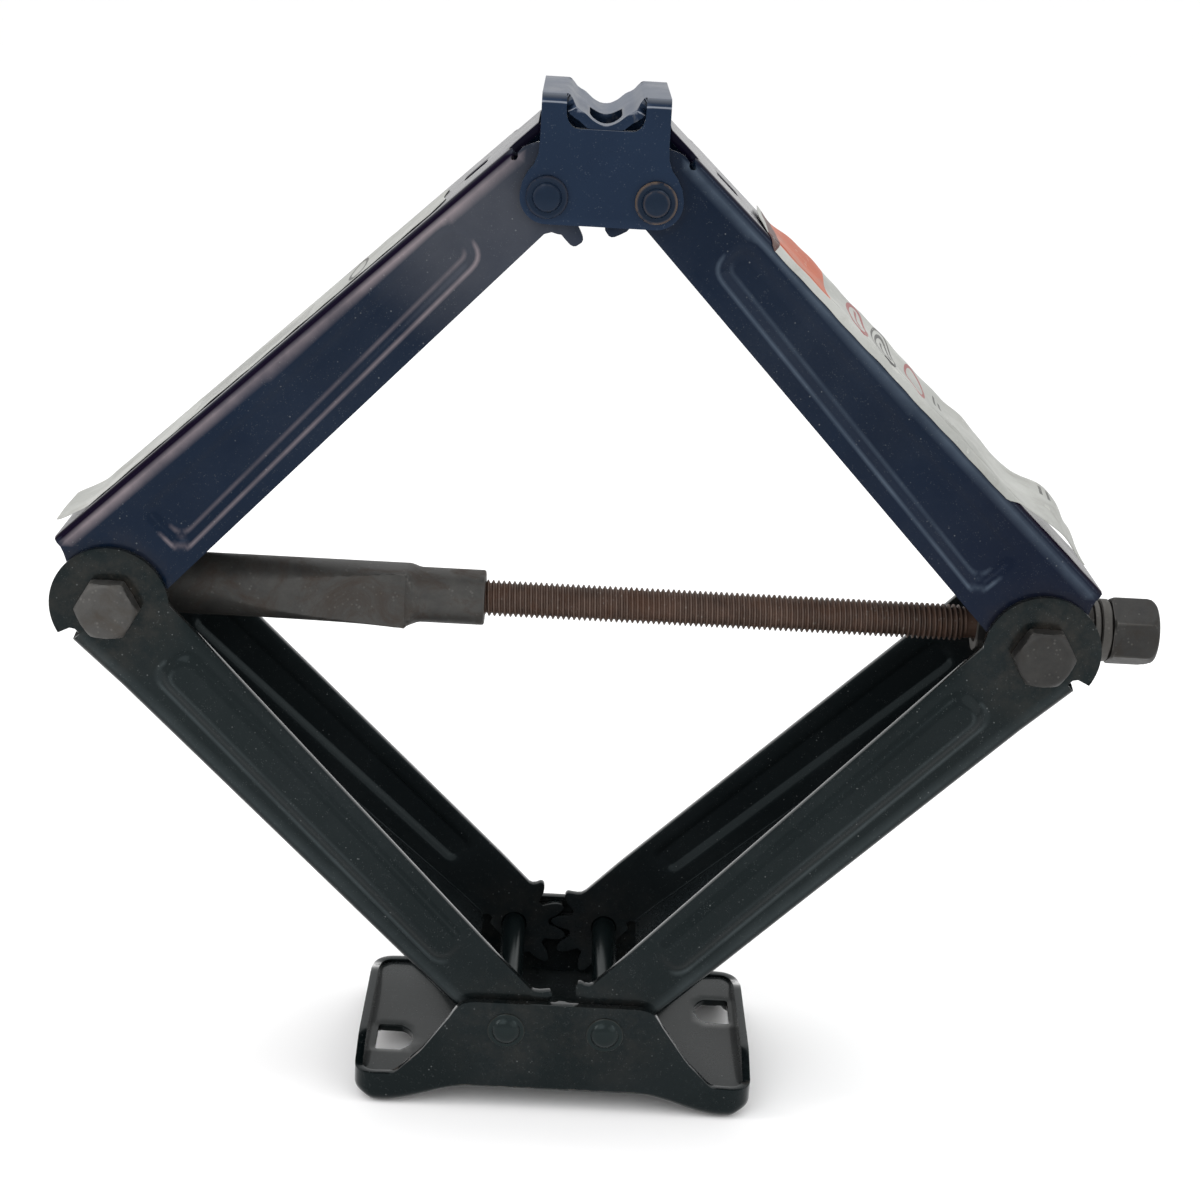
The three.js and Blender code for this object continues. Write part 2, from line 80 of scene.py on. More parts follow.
def make_camera():
    """A camera at the photograph's angle: slightly above, turned a little, and rolled."""
    yaw, pitch, roll = 1.2274 * DEG, 18.466 * DEG, 3.396 * DEG
    forward = Vector((math.sin(yaw) * math.cos(pitch), math.cos(yaw) * math.cos(pitch), -math.sin(pitch)))
    right = Vector((math.cos(yaw), -math.sin(yaw), 0))
    up = right.cross(forward)
    side = right * math.cos(roll) + up * math.sin(roll)
    top = up * math.cos(roll) - right * math.sin(roll)
    data = bpy.data.cameras.new("camera")
    data.sensor_width = 36
    data.lens = 67.352
    camera = new_object("camera", data)
    place = Matrix((side, top, -forward)).transposed().to_4x4()
    place.translation = Vector((MIDDLE_X - 7.85, -701.65, SIDE_Z + 235.6)) * MM
    camera.matrix_world = place
    bpy.context.scene.camera = camera


make_camera()


def area_light(name, place, target, size, power, color=(1, 1, 1)):
    data = bpy.data.lights.new(name, "AREA")
    data.shape = "RECTANGLE"
    data.size, data.size_y = size
    data.energy = power
    data.color = color
    aim = (Vector(target) - Vector(place)).to_track_quat("-Z", "Y").to_matrix().to_4x4()
    aim.translation = place
    new_object(name, data).matrix_world = aim


area_light("key", (-0.5, -0.75, 1.05), (0, 0, 0.17), (0.9, 0.9), 4, (0.97, 0.98, 1.0))
area_light("fill", (0.95, -0.8, 0.7), (0, 0, 0.15), (1.0, 1.0), 2.5, (1.0, 0.99, 0.97))
area_light("top", (0.05, 0.35, 1.25), (0, 0, 0.2), (1.2, 1.2), 5)
area_light("left_strip", (-1.65, -0.42, 1.15), (-0.05, 0, 0.22), (0.10, 1.1), 5, (1.0, 0.93, 0.92))
area_light("right_strip", (1.65, -0.42, 1.15), (0.05, 0, 0.22), (0.08, 1.1), 2.5, (0.95, 0.97, 1.0))

world = bpy.data.worlds.new("studio")
world.use_nodes = True
background = world.node_tree.nodes["Background"].inputs
background["Color"].default_value = (1.0, 1.0, 1.0, 1)
background["Strength"].default_value = 1.06
bpy.context.scene.world = world
bpy.context.scene.view_settings.view_transform = "Standard"

# ---------------- material building


class Nodes:
    """A material's node tree with short calls for the few node types used here."""

    def __init__(self, name):
        self.material = bpy.data.materials.new(name)
        self.material.use_nodes = True
        self.tree = self.material.node_tree
        self.shader = self.tree.nodes["Principled BSDF"]
        self.coords = self.tree.nodes.new("ShaderNodeTexCoord").outputs["Object"]

    def add(self, kind, settings=(), **inputs):
        node = self.tree.nodes.new(kind)
        for key, value in dict(settings).items():
            setattr(node, key, value)
        for key, value in inputs.items():
            self.feed(node.inputs[key.replace("_", " ")], value)
        return node

    def feed(self, socket, value):
        if isinstance(value, bpy.types.NodeSocket):
            self.tree.links.new(value, socket)
        else:
            socket.default_value = value

    def noise(self, scale, detail=4.0, rough=0.6, stretch=None, distortion=0.0):
        vector = self.coords
        if stretch:
            vector = self.add("ShaderNodeMapping", Vector=vector, Scale=stretch).outputs[0]
        node = self.add("ShaderNodeTexNoise", Vector=vector, Scale=scale, Detail=detail, Roughness=rough,
                        Distortion=distortion)
        return node.outputs["Fac"]

    def specks(self, scale, size):
        """1 in small round spots scattered over the surface, 0 elsewhere."""
        cells = self.add("ShaderNodeTexVoronoi", Vector=self.coords, Scale=scale)
        sparse = self.ramp(self.noise(scale * 0.31, 2.0), ((0.52, 0.0), (0.62, 1.0)))
        spots = self.ramp(cells.outputs["Distance"], ((size * 0.5, 1.0), (size, 0.0)))
        return self.times(spots, sparse)

    def ramp(self, value, stops):
        node = self.add("ShaderNodeValToRGB", Fac=value)
        elements = node.color_ramp.elements
        while len(elements) < len(stops):
            elements.new(0.5)
        for element, (at, level) in zip(elements, stops):
            element.position = at
            element.color = (level, level, level, 1)
        return node.outputs["Color"]

    def math(self, operation, a, b=0.0, clamp=True):
        node = self.tree.nodes.new("ShaderNodeMath")
        node.operation = operation
        node.use_clamp = clamp
        self.feed(node.inputs[0], a)
        self.feed(node.inputs[1], b)
        return node.outputs[0]

    def vector(self, operation, a, b=(0, 0, 0)):
        node = self.add("ShaderNodeVectorMath", {"operation": operation})
        self.feed(node.inputs[0], a)
        self.feed(node.inputs[1], b)
        return node

    def times(self, a, b, clamp=True):
        return self.math("MULTIPLY", a, b, clamp)

    def plus(self, a, b, clamp=True):
        return self.math("ADD", a, b, clamp)

    def minus(self, a, b, clamp=True):
        return self.math("SUBTRACT", a, b, clamp)

    def greater(self, a, b):
        return self.math("MAXIMUM", a, b)

    def mix(self, share, a, b):
        node = self.tree.nodes.new("ShaderNodeMix")
        node.data_type = "RGBA"
        self.feed(node.inputs[0], share)
        for socket, value in ((6, a), (7, b)):
            self.feed(node.inputs[socket], value if isinstance(value, bpy.types.NodeSocket) else (*value, 1))
        return node.outputs[2]

    def mark(self, name):
        """A value stored on the mesh's points."""
        return self.add("ShaderNodeAttribute", {"attribute_name": name}).outputs["Fac"]

    def edges(self, low, high, most=1.0):
        """most on convex edges, 0 on flat surfaces."""
        return self.ramp(self.add("ShaderNodeNewGeometry").outputs["Pointiness"], ((low, 0.0), (high, most)))

    def spread(self, value, low, high):
        return self.add("ShaderNodeMapRange", Value=value, To_Min=low, To_Max=high).outputs[0]

    def bump(self, height, strength, distance=0.0004, below=None):
        node = self.add("ShaderNodeBump", Height=height, Strength=strength, Distance=distance)
        if below is not None:
            self.feed(node.inputs["Normal"], below)
        return node.outputs["Normal"]

    def finish(self, color, roughness, normal=None, **plain):
        self.feed(self.shader.inputs["Base Color"], color)
        self.feed(self.shader.inputs["Roughness"], roughness)
        if normal is not None:
            self.feed(self.shader.inputs["Normal"], normal)
        for key, value in plain.items():
            self.shader.inputs[key.replace("_", " ")].default_value = value
        return self.material


def near_point(n, place, reach):
    """1 close to a point given in mm, 0 beyond reach mm; used for grime and wear round a joint."""
    offset = n.vector("SUBTRACT", n.coords, Vector(place) * MM)
    size = n.vector("LENGTH", n.vector("MULTIPLY", offset.outputs[0], (1, 0, 1)).outputs[0]).outputs["Value"]
    return n.ramp(n.math("DIVIDE", size, reach * MM), ((0.35, 1.0), (1.0, 0.0)))


def facing_up(n, low, high):
    """1 on surfaces that face up where the jack stands at rest, 0 on upright ones."""
    outward = n.add("ShaderNodeNewGeometry").outputs["Normal"]
    turned = n.add("ShaderNodeVectorTransform",
                   {"vector_type": "NORMAL", "convert_from": "WORLD", "convert_to": "OBJECT"}, Vector=outward)
    parts = n.add("ShaderNodeSeparateXYZ", Vector=turned.outputs[0])
    return n.ramp(parts.outputs["Z"], ((low, 0.0), (high, 1.0)))


ENAMEL_SPECULAR = 0.11


def enamel(name, deep, light, tint, gloss, dust, scuff, grime=(), highlight_color=None, haze_at=(),
           shadow=(0.0042, 0.0022, 0.0085)):
    """Sprayed enamel: slow colour drift, orange peel, a thin dust film, specks and rubbed edges.

    haze_at and grime are (place, reach, strength) rows. lines is the colour of a painted highlight along
    the bends and panel edges, and shadow the colour of painted shade beside the bends and on the webs, where
    the gloss is dulled too; the mesh says where.
    """
    n = Nodes(name)
    drift = n.ramp(n.noise(13, 3.0, 0.5, distortion=0.5), ((0.36, 0.0), (0.68, 1.0)))
    color = n.mix(drift, deep, light)
    haze = n.ramp(n.noise(22, 5.0, 0.62, distortion=0.3), ((0.42, 0.0), (0.72, dust)))
    grain = n.ramp(n.noise(1100, 5.0, 0.75), ((0.3, 0.3), (0.7, 1.0)))
    film = n.times(haze, grain)
    color = n.mix(film, color, (0.050, 0.054, 0.060))
    for place, reach, strength in haze_at:
        cloud = n.ramp(n.noise(45, 4.0, 0.6), ((0.2, strength * 0.6), (0.7, strength)))
        veil = n.times(near_point(n, place, reach), cloud)
        color = n.mix(veil, color, (0.075, 0.078, 0.088))
    dirt = None
    for place, reach, strength in grime:
        ring = n.times(near_point(n, place, reach), strength)
        dirt = ring if dirt is None else n.greater(dirt, ring)
    if dirt is not None:
        dirt = n.times(dirt, n.ramp(n.noise(130, 6.0, 0.75), ((0.4, 0.0), (0.65, 1.0))))
        color = n.mix(dirt, color, (0.052, 0.042, 0.034))
    spots = n.specks(420, 0.13)
    color = n.mix(n.times(spots, 0.5), color, (0.16, 0.17, 0.17))
    fine = n.specks(1700, 0.3)
    color = n.mix(n.times(fine, 0.26), color, (0.12, 0.13, 0.13))
    worn = n.times(n.edges(0.56, 0.68), n.ramp(n.noise(260, 5.0), ((0.5, 0.0), (0.6, 1.0))))
    color = n.mix(n.times(worn, scuff), color, (0.10, 0.085, 0.075))
    scratch = n.ramp(n.noise(55, 3.0, 0.8, stretch=(1, 1, 14), distortion=0.3), ((0.70, 0.0), (0.73, 0.5)))
    if highlight_color:
        # painted shade: darker colour where the mesh's shade mark is set, with duller gloss there
        shade = n.mark("shade")
        color = n.mix(shade, color, shadow)
        # painted highlight: lighter colour along the bends and panel edges where the mesh marks it
        painted_highlight = n.times(n.mark("painted_highlight"), n.ramp(n.noise(48, 5.0, 0.6), ((0.3, 0.45), (0.65, 1.0))))
        color = n.mix(painted_highlight, color, highlight_color)
        dull = n.minus(1.0, n.times(shade, 0.93))
        n.feed(n.shader.inputs["Specular IOR Level"], n.times(dull, ENAMEL_SPECULAR))
        n.feed(n.shader.inputs["Coat Weight"], dull)
    else:
        n.shader.inputs["Specular IOR Level"].default_value = ENAMEL_SPECULAR
        n.shader.inputs["Coat Weight"].default_value = 1.0
    rough = n.spread(n.noise(38, 6.0, 0.7), gloss - 0.05, gloss + 0.10)
    rough = n.plus(rough, n.times(n.greater(film, spots), 0.35))
    rough = n.plus(rough, n.times(scratch, 0.15))
    peel = n.bump(n.noise(420, 2.0, 0.5), 0.05)
    normal = n.bump(n.plus(spots, n.times(fine, 0.5)), 0.12, 0.0002, peel)
    n.shader.inputs["Specular Tint"].default_value = (*tint, 1)
    return n.finish(color, rough, normal, Metallic=0.0, Coat_Roughness=0.1, Coat_IOR=1.15)


def bare_steel(name, dark, light, stain, metal=0.75, rough=0.46, stain_share=0.6, spot=0.3):
    """Phosphated or plain steel gone dull: mottled, stained, lightly scratched and pitted."""
    n = Nodes(name)
    mottle = n.ramp(n.noise(110, 8.0, 0.7, distortion=0.4), ((0.3, 0.0), (0.72, 1.0)))
    color = n.mix(mottle, dark, light)
    rust = n.ramp(n.noise(52, 6.0, 0.75, distortion=1.2), ((0.5, 0.0), (0.68, stain_share)))
    color = n.mix(rust, color, stain)
    spots = n.specks(600, 0.3)
    color = n.mix(n.times(spots, spot), color, (0.3, 0.29, 0.27))
    color = n.mix(n.edges(0.54, 0.64, 0.55), color, (0.27, 0.26, 0.24))
    roughness = n.plus(n.times(mottle, 0.14), n.plus(rough, n.times(rust, 0.25)))
    pits = n.bump(n.noise(900, 6.0, 0.7), 0.16, 0.0002)
    normal = n.bump(n.noise(140, 4.0, 0.6), 0.18, 0.0005, pits)
    return n.finish(color, roughness, normal, Metallic=metal)


SIDE_SPOTS = [((s * SIDE_X + MIDDLE_X, 0, SIDE_Z), 27, 0.4) for s in (-1, 1)]
HEAD_SPOTS = [((s * PIVOT_HALF + MIDDLE_X, 0, HEAD_Z), 11, 0.3) for s in (-1, 1)]
BASE_SPOTS = [((s * PIVOT_HALF + MIDDLE_X, 0, BASE_Z), 26, 0.16) for s in (-1, 1)]
HAZE = [((-SIDE_X + 168 * math.cos(REST) - 4 + MIDDLE_X, 0, SIDE_Z + 168 * math.sin(REST) + 4), 40, 0.5)]
NAVY_MIX = ((0.0009, 0.0036, 0.0105), (0.0022, 0.0072, 0.0182), (0.45, 0.62, 1.0), 0.17, 0.14, 0.5,
            SIDE_SPOTS + HEAD_SPOTS)
GREEN_DEEP = (0.0015, 0.0027, 0.0030)
GREEN_REST = ((0.6, 0.85, 0.9), 0.22, 0.12, 0.5, SIDE_SPOTS + BASE_SPOTS)
GREEN_MIX = (GREEN_DEEP, (0.0032, 0.0052, 0.0056), *GREEN_REST)
NAVY = enamel("upper_enamel_inside", *NAVY_MIX)
# the extra colours are painted highlight colours for the bends and panel edges: pinkish and strong on the left
# upper arm, faint and bluish on the right
NAVY_OUTSIDE = {"left": enamel("upper_enamel_left", *NAVY_MIX, (0.34, 0.28, 0.29), HAZE),
                "right": enamel("upper_enamel_right", *NAVY_MIX, (0.12, 0.155, 0.20))}
GREEN_BLACK = enamel("base_enamel", *GREEN_MIX)
# a lighter copy of the lower arms' paint for their inner faces: painted light standing in for the reflection on
# the inner walls
GREEN_INSIDE_LIT = enamel("lower_enamel_inside_lit", (0.0075, 0.0100, 0.0110), (0.0125, 0.0160, 0.0172), *GREEN_REST)
# a painted highlight colour for the bends, and GREEN_DEEP as the painted shade colour
GREEN_OUTSIDE = enamel("lower_enamel", *GREEN_MIX, (0.075, 0.09, 0.095), shadow=GREEN_DEEP)
PLATE_PAINT = enamel("base_plate_enamel", (0.0050, 0.0068, 0.0070), (0.0095, 0.0115, 0.0115),
                     (0.8, 0.95, 0.95), 0.2, 0.3, 0.5, BASE_SPOTS)


def bright_metal(n, color, rough, share):
    """Lays rubbed bare metal over a finish where share is 1."""
    n.feed(n.shader.inputs["Base Color"], n.mix(share, color, (0.068, 0.071, 0.075)))
    n.feed(n.shader.inputs["Metallic"], n.times(share, 0.3))
    n.feed(n.shader.inputs["Roughness"], n.plus(rough, n.times(share, 0.12)))
    n.feed(n.shader.inputs["Specular IOR Level"], n.minus(0.3, n.times(share, 0.1)))


def head_enamel():
    """Navy enamel rubbed down to grey metal on the top of the lugs and in the saddle."""
    n = Nodes("head_enamel")
    drift = n.ramp(n.noise(20, 3.0, 0.55), ((0.38, 0.0), (0.66, 1.0)))
    color = n.mix(drift, (0.0040, 0.0085, 0.0185), (0.0060, 0.0125, 0.026))
    fine = n.specks(1500, 0.3)
    color = n.mix(n.times(fine, 0.22), color, (0.16, 0.18, 0.2))
    z = n.add("ShaderNodeSeparateXYZ", Vector=n.coords).outputs["Z"]
    up = facing_up(n, 0.5, 0.86)
    # painted highlight: a lighter band where the surface turns between upright and up-facing, high on the head
    bend_highlight = n.minus(facing_up(n, 0.16, 0.24), facing_up(n, 0.30, 0.38))
    low = n.ramp(n.times(n.minus((HEAD_Z + 31.5) * MM, z), 110.0), ((0.05, 0.62), (0.5, 1.0)))
    patch = n.ramp(n.noise(95, 5.0, 0.7, stretch=(1, 0.5, 1)), ((0.36, 0.25), (0.52, 1.0)))
    share = n.times(n.times(up, low), patch)
    rim = n.times(n.edges(0.57, 0.66, 0.7), n.ramp(n.noise(300, 4.0), ((0.42, 0.0), (0.55, 1.0))))
    height = n.ramp(n.times(n.minus(z, (HEAD_Z + 17) * MM), 100.0), ((0.0, 0.25), (0.3, 1.0)))
    share = n.greater(share, n.times(rim, height))
    color = n.mix(n.times(bend_highlight, n.times(height, 0.5)), color, (0.34, 0.36, 0.40))
    rough = n.spread(n.noise(38, 6.0, 0.7), 0.22, 0.36)
    n.shader.inputs["Specular Tint"].default_value = (0.45, 0.62, 1.0, 1)
    n.finish(color, rough, n.bump(n.noise(420, 2.0, 0.5), 0.08))
    bright_metal(n, color, rough, share)
    return n.material


def rivet_enamel(name, deep, rust_share, tint=(0.6, 0.75, 1.0)):
    """Enamel over a rivet, rubbed to rusty metal round its rim."""
    n = Nodes(name)
    color = n.mix(n.noise(160, 5.0, 0.7), deep, tuple(v * 1.9 for v in deep))
    rim = n.times(n.edges(0.53, 0.6), n.ramp(n.noise(190, 5.0), ((0.38, 0.0), (0.5, 1.0))))
    share = n.times(rim, rust_share)
    rusted = n.mix(n.noise(420, 5.0), (0.10, 0.062, 0.036), (0.25, 0.17, 0.10))
    n.shader.inputs["Specular Tint"].default_value = (*tint, 1)
    return n.finish(n.mix(share, color, rusted), n.plus(0.24, n.times(share, 0.3)),
                    n.bump(n.noise(600, 4.0), 0.12, 0.0002), Specular_IOR_Level=0.22)


HEAD_PAINT = head_enamel()
RIVET = rivet_enamel("head_rivet_enamel", (0.0028, 0.0062, 0.0135), 0.12)
RIVET_RUSTED = rivet_enamel("head_rivet_rusted", (0.0028, 0.006, 0.0125), 0.9)
PIN_PAINT = rivet_enamel("base_rivet_enamel", (0.0022, 0.0036, 0.0039), 0.08, (0.8, 1.0, 1.0))
STEEL = bare_steel("grey_steel", (0.045, 0.044, 0.042), (0.084, 0.082, 0.078), (0.060, 0.050, 0.040),
                   spot=0.15)
DARK_STEEL = bare_steel("dark_steel", (0.020, 0.020, 0.020), (0.040, 0.039, 0.037), (0.034, 0.028, 0.023),
                        spot=0.12)
SLEEVE = bare_steel("sleeve_steel", (0.030, 0.030, 0.029), (0.060, 0.058, 0.054), (0.042, 0.030, 0.023),
                    0.55, 0.46, 0.75, 0.1)
THREAD = bare_steel("rusty_steel", (0.040, 0.024, 0.017), (0.105, 0.062, 0.044), (0.075, 0.034, 0.018),
                    0.35, 0.5, 0.9)
PRINT = 0.01                     # label mm to print coordinates
RING_TALL = 4.2                  # printed rings are drawn taller than they are long


def ring_mark(n, u, v, centre, radius, width):
    """1 on a printed ring round the centre, in label mm."""
    du = n.minus(u, centre[0] * PRINT, False)
    dv = n.math("DIVIDE", n.minus(v, centre[1] * PRINT, False), RING_TALL, False)
    reach = n.math("SQRT", n.plus(n.times(du, du, False), n.times(dv, dv, False), False), 0, False)
    off = n.math("ABSOLUTE", n.minus(reach, radius * PRINT, False), 0, False)
    return n.math("LESS_THAN", off, width * PRINT / 2)


def box_mark(n, u, v, low, high):
    """1 inside a printed rectangle, in label mm."""
    inside_u = n.times(n.math("GREATER_THAN", u, low[0] * PRINT), n.math("LESS_THAN", u, high[0] * PRINT))
    inside_v = n.times(n.math("GREATER_THAN", v, low[1] * PRINT), n.math("LESS_THAN", v, high[1] * PRINT))
    return n.times(inside_u, inside_v)


def label_paper(name, blocks, rings, bars):
    """White film, yellowed and grubby, with plain generic print: blocks, rings and bars."""
    n = Nodes(name)
    uv = n.add("ShaderNodeUVMap", {"uv_map": "print"}).outputs[0]
    parts = n.add("ShaderNodeSeparateXYZ", Vector=uv)
    u, v = parts.outputs["X"], parts.outputs["Y"]
    aged = n.ramp(n.noise(30, 5.0, 0.65), ((0.35, 0.0), (0.7, 1.0)))
    color = n.mix(aged, (0.37, 0.375, 0.355), (0.25, 0.255, 0.24))
    marks = [(box_mark(n, u, v, low, high), 0.92, ink) for low, high, ink in blocks]
    marks += [(ring_mark(n, u, v, centre, radius, width), 0.85, ink) for centre, radius, width, ink in rings]
    marks += [(box_mark(n, u, v, low, high), 0.8, ink) for low, high, ink in bars]
    for mark, strength, ink in marks:
        color = n.mix(n.times(mark, strength), color, ink)
    rubbed = n.ramp(n.noise(240, 5.0, 0.7), ((0.6, 0.0), (0.68, 0.55)))
    color = n.mix(rubbed, color, (0.5, 0.5, 0.47))
    dirt = n.ramp(n.noise(75, 6.0, 0.75, distortion=0.8), ((0.52, 0.0), (0.72, 0.5)))
    color = n.mix(dirt, color, (0.19, 0.18, 0.155))
    rough = n.spread(n.noise(60, 4.0), 0.38, 0.6)
    return n.finish(color, rough, n.bump(n.noise(260, 4.0, 0.6), 0.25, 0.0003), Specular_IOR_Level=0.12)


ORANGE, RED, BLACK = (0.36, 0.075, 0.03), (0.22, 0.045, 0.045), (0.03, 0.03, 0.03)
DARK_RED, FADED_RED = (0.06, 0.022, 0.02), (0.40, 0.11, 0.05)
LABELS = {
    "right": label_paper(
        "label_right_print",
        [((132, -22.4), (155, 22), ORANGE), ((155, -26), (160, 22), DARK_RED)],
        [((117, -1), 4.0, 1.3, RED), ((104.5, -1), 3.0, 0.9, BLACK), ((104.5, -1), 4.8, 0.8, BLACK),
         ((89.5, -1), 3.8, 1.0, RED)],
        [((116.4, -12), (117.6, 10), RED), ((104, -8), (105, 6), BLACK), ((78, 0), (79.2, 10), BLACK),
         ((75.6, 0), (76.6, 8), BLACK), ((26, 8), (27.2, 17), BLACK), ((29, 9), (30.2, 17), BLACK)]
        + [((135, y), (152, y + 1.2), FADED_RED) for y in (-20, -15, -10, -5, 0, 5)]),
    "left": label_paper(
        "label_left_print", [], [((128, 0), 3.2, 1.0, BLACK)],
        [((60, y), (108, y + 0.9), BLACK) for y in (-8, -4, 0, 4, 8)]),
}

# ---------------- mesh building


SHARP = 32                       # degrees between faces that meet in a crease


def make_piece(name, points, faces, body, node, slot, material, sharp=SHARP, inside_out=False):
    """Points in mm, in the row frame; the piece rides its body in place of the CAD node."""
    mesh = bpy.data.meshes.new(name)
    points = np.asarray(points, float) * MM
    if inside_out:
        faces = [tuple(reversed(face)) for face in faces]
    mesh.from_pydata([tuple(p) for p in points], [], [tuple(face) for face in faces])
    mesh.validate()
    piece = new_object(name, mesh)
    mesh.materials.append(material)
    mesh.shade_smooth()
    mesh.set_sharp_from_angle(angle=sharp * DEG)
    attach(piece, body)
    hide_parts(node)
    return piece


def thicken(piece, thickness, edge=0.35, inside_paint=None, even=True):
    """Gives an outer skin its sheet thickness, inward, and breaks the cut edges."""
    if inside_paint:
        piece.data.materials.append(inside_paint)
    solid = piece.modifiers.new("thickness", "SOLIDIFY")
    solid.thickness = thickness * MM
    solid.offset = -1
    solid.use_even_offset = even
    solid.material_offset = 1 if inside_paint else 0
    bevel = piece.modifiers.new("edges", "BEVEL")
    bevel.width = edge * MM
    bevel.segments = 2
    bevel.limit_method = "ANGLE"
    bevel.angle_limit = 55 * DEG
    bevel.use_clamp_overlap = True
    bpy.context.view_layer.update()
    mesh = bpy.data.meshes.new_from_object(piece.evaluated_get(bpy.context.evaluated_depsgraph_get()))
    piece.modifiers.clear()
    piece.data = mesh
    mesh.shade_smooth()
    mesh.set_sharp_from_angle(angle=SHARP * DEG)


def polar(centre, radius, angle):
    return (centre[0] + radius * math.cos(angle * DEG), centre[1] + radius * math.sin(angle * DEG))


def arc(centre, radius, start, end, steps):
    return [polar(centre, radius, start + (end - start) * i / steps) for i in range(steps + 1)]


def rounded(points, reach, steps=5):
    """The polygon with every corner replaced by a short curve; reach may be one per corner."""
    out = []
    reaches = reach if isinstance(reach, (list, tuple)) else [reach] * len(points)
    for i, corner in enumerate(points):
        c = Vector(corner)
        before, after = Vector(points[i - 1]) - c, Vector(points[(i + 1) % len(points)]) - c
        r = min(reaches[i], before.length * 0.45, after.length * 0.45)
        a, b = c + before.normalized() * r, c + after.normalized() * r
        for k in range(steps + 1):
            t = k / steps
            p = a * (1 - t) ** 2 + c * 2 * t * (1 - t) + b * t * t
            out.append((p.x, p.y))
    return out


def dense(loop, longest):
    """The closed loop with points added so that no step is longer than the given length."""
    out = []
    for i, start in enumerate(loop):
        a, b = np.array(start), np.array(loop[(i + 1) % len(loop)])
        steps = max(1, int(math.ceil(np.linalg.norm(b - a) / longest)))
        out += [tuple(a + (b - a) * k / steps) for k in range(steps)]
    return out


def inside(points, loop):
    """Which points lie inside the closed loop."""
    x, y = points[:, 0][:, None], points[:, 1][:, None]
    a = np.array(loop)
    b = np.roll(a, -1, axis=0)
    crosses = (a[:, 1] > y) != (b[:, 1] > y)
    with np.errstate(divide="ignore", invalid="ignore"):
        at = (b[:, 0] - a[:, 0]) * (y - a[:, 1]) / (b[:, 1] - a[:, 1]) + a[:, 0]
    return (crosses & (x < at)).sum(axis=1) % 2 == 1


def reach_to(points, loop):
    """Distance from each point to the closed loop."""
    a = np.array(loop)
    d = np.roll(a, -1, axis=0) - a
    best = np.full(len(points), 1e9)
    for start, step in zip(a, d):
        length = max(step @ step, 1e-12)
        t = np.clip(((points - start) @ step) / length, 0, 1)
        best = np.minimum(best, np.hypot(*(points - start - t[:, None] * step).T))
    return best


def depth_inside(points, loop):
    """Distance to the loop, positive inside it and negative outside."""
    return np.where(inside(points, loop), 1, -1) * reach_to(points, loop)


def smooth(t):
    t = np.clip(t, 0, 1)
    return t * t * (3 - 2 * t)


def both_ways(values):
    """The values and their negatives, in order."""
    return sorted({round(float(v), 3) for v in values} | {round(-float(v), 3) for v in values})


def flat_mesh(outline, holes, rings, us, vs, clear=1.0, step=2.4):
    """Triangles over a flat outline with holes, following the rings and a grid of inner points."""
    loops = [dense(loop, step) for loop in [outline, *holes, *rings]]
    points, edges = [], []
    for loop in loops:
        first = len(points)
        points += loop
        edges += [(first + i, first + (i + 1) % len(loop)) for i in range(len(loop))]
    grid = np.array([(u, v) for u in us for v in vs], float)
    grid = grid[inside(grid, loops[0])]
    for hole in loops[1:1 + len(holes)]:
        grid = grid[~inside(grid, hole)]
    for loop in loops:
        grid = grid[reach_to(grid, loop) > clear]
    points += [tuple(p) for p in grid]
    made = delaunay_2d_cdt([Vector(p) for p in points], edges, [], 0, 1e-6)
    verts = np.array([tuple(v) for v in made[0]])
    faces = np.array([face for face in made[2] if len(face) == 3])
    middle = verts[faces].mean(axis=1)
    keep = inside(middle, loops[0])
    for hole in loops[1:1 + len(holes)]:
        keep &= ~inside(middle, hole)
    faces = faces[keep]
    a, b, c = verts[faces[:, 0]], verts[faces[:, 1]], verts[faces[:, 2]]
    turn = (b[:, 0] - a[:, 0]) * (c[:, 1] - a[:, 1]) - (b[:, 1] - a[:, 1]) * (c[:, 0] - a[:, 0])
    faces[turn < 0] = faces[turn < 0][:, ::-1]
    used = np.unique(faces)
    index = np.full(len(verts), -1)
    index[used] = np.arange(len(used))
    return verts[used], index[faces]


def lathe(profile, segments=48, axis="x", shape=None):
    """Points and faces of a turned solid along an axis from the origin.

    The profile is (radius, along) pairs: it starts and ends on the axis, or closes on itself for a ring.
    shape turns (angle, radius, along) into the ring's two cross coordinates.
    """
    points, faces, rows = [], [], []
    looped = profile[0] == profile[-1]
    for radius, at in profile[:-1] if looped else profile:
        if radius < 1e-6:
            rows.append([len(points)] * segments)
            points.append((0.0, 0.0, at))
            continue
        rows.append(list(range(len(points), len(points) + segments)))
        for k in range(segments):
            a = 2 * math.pi * k / segments
            cross = shape(a, radius, at) if shape else (radius * math.cos(a), radius * math.sin(a))
            points.append((*cross, at))
    if looped:
        rows.append(rows[0])
    for low, high in zip(rows, rows[1:]):
        for k in range(segments):
            j = (k + 1) % segments
            quad = [low[k], low[j], high[j], high[k]]
            face = [p for i, p in enumerate(quad) if p != quad[i - 1]]
            if len(face) > 2:
                faces.append(face)
    order = (2, 0, 1) if axis == "x" else (1, 2, 0)
    return np.array(points)[:, order], faces


# ---------------- arms
# Arm frame: s from the side pivot to the gear pivot, n outward to the web, y across.
# On the flat blank, q runs out from the web's middle: the bend lies between BLANK_WEB and BLANK_BEND.

BLANK_WEB, BLANK_BEND = 10.0, 16.0
BOLT_HOLE_R, PIN_HOLE_R = 5.3, 4.6
PANEL_RINGS = (2.9, 1.9, 0.95, 0.0, -0.95, -1.9, -2.9)
QUARTER = math.pi / 2


def along(edge, s):
    return edge[0] + (edge[1] - edge[0]) * s / ARM


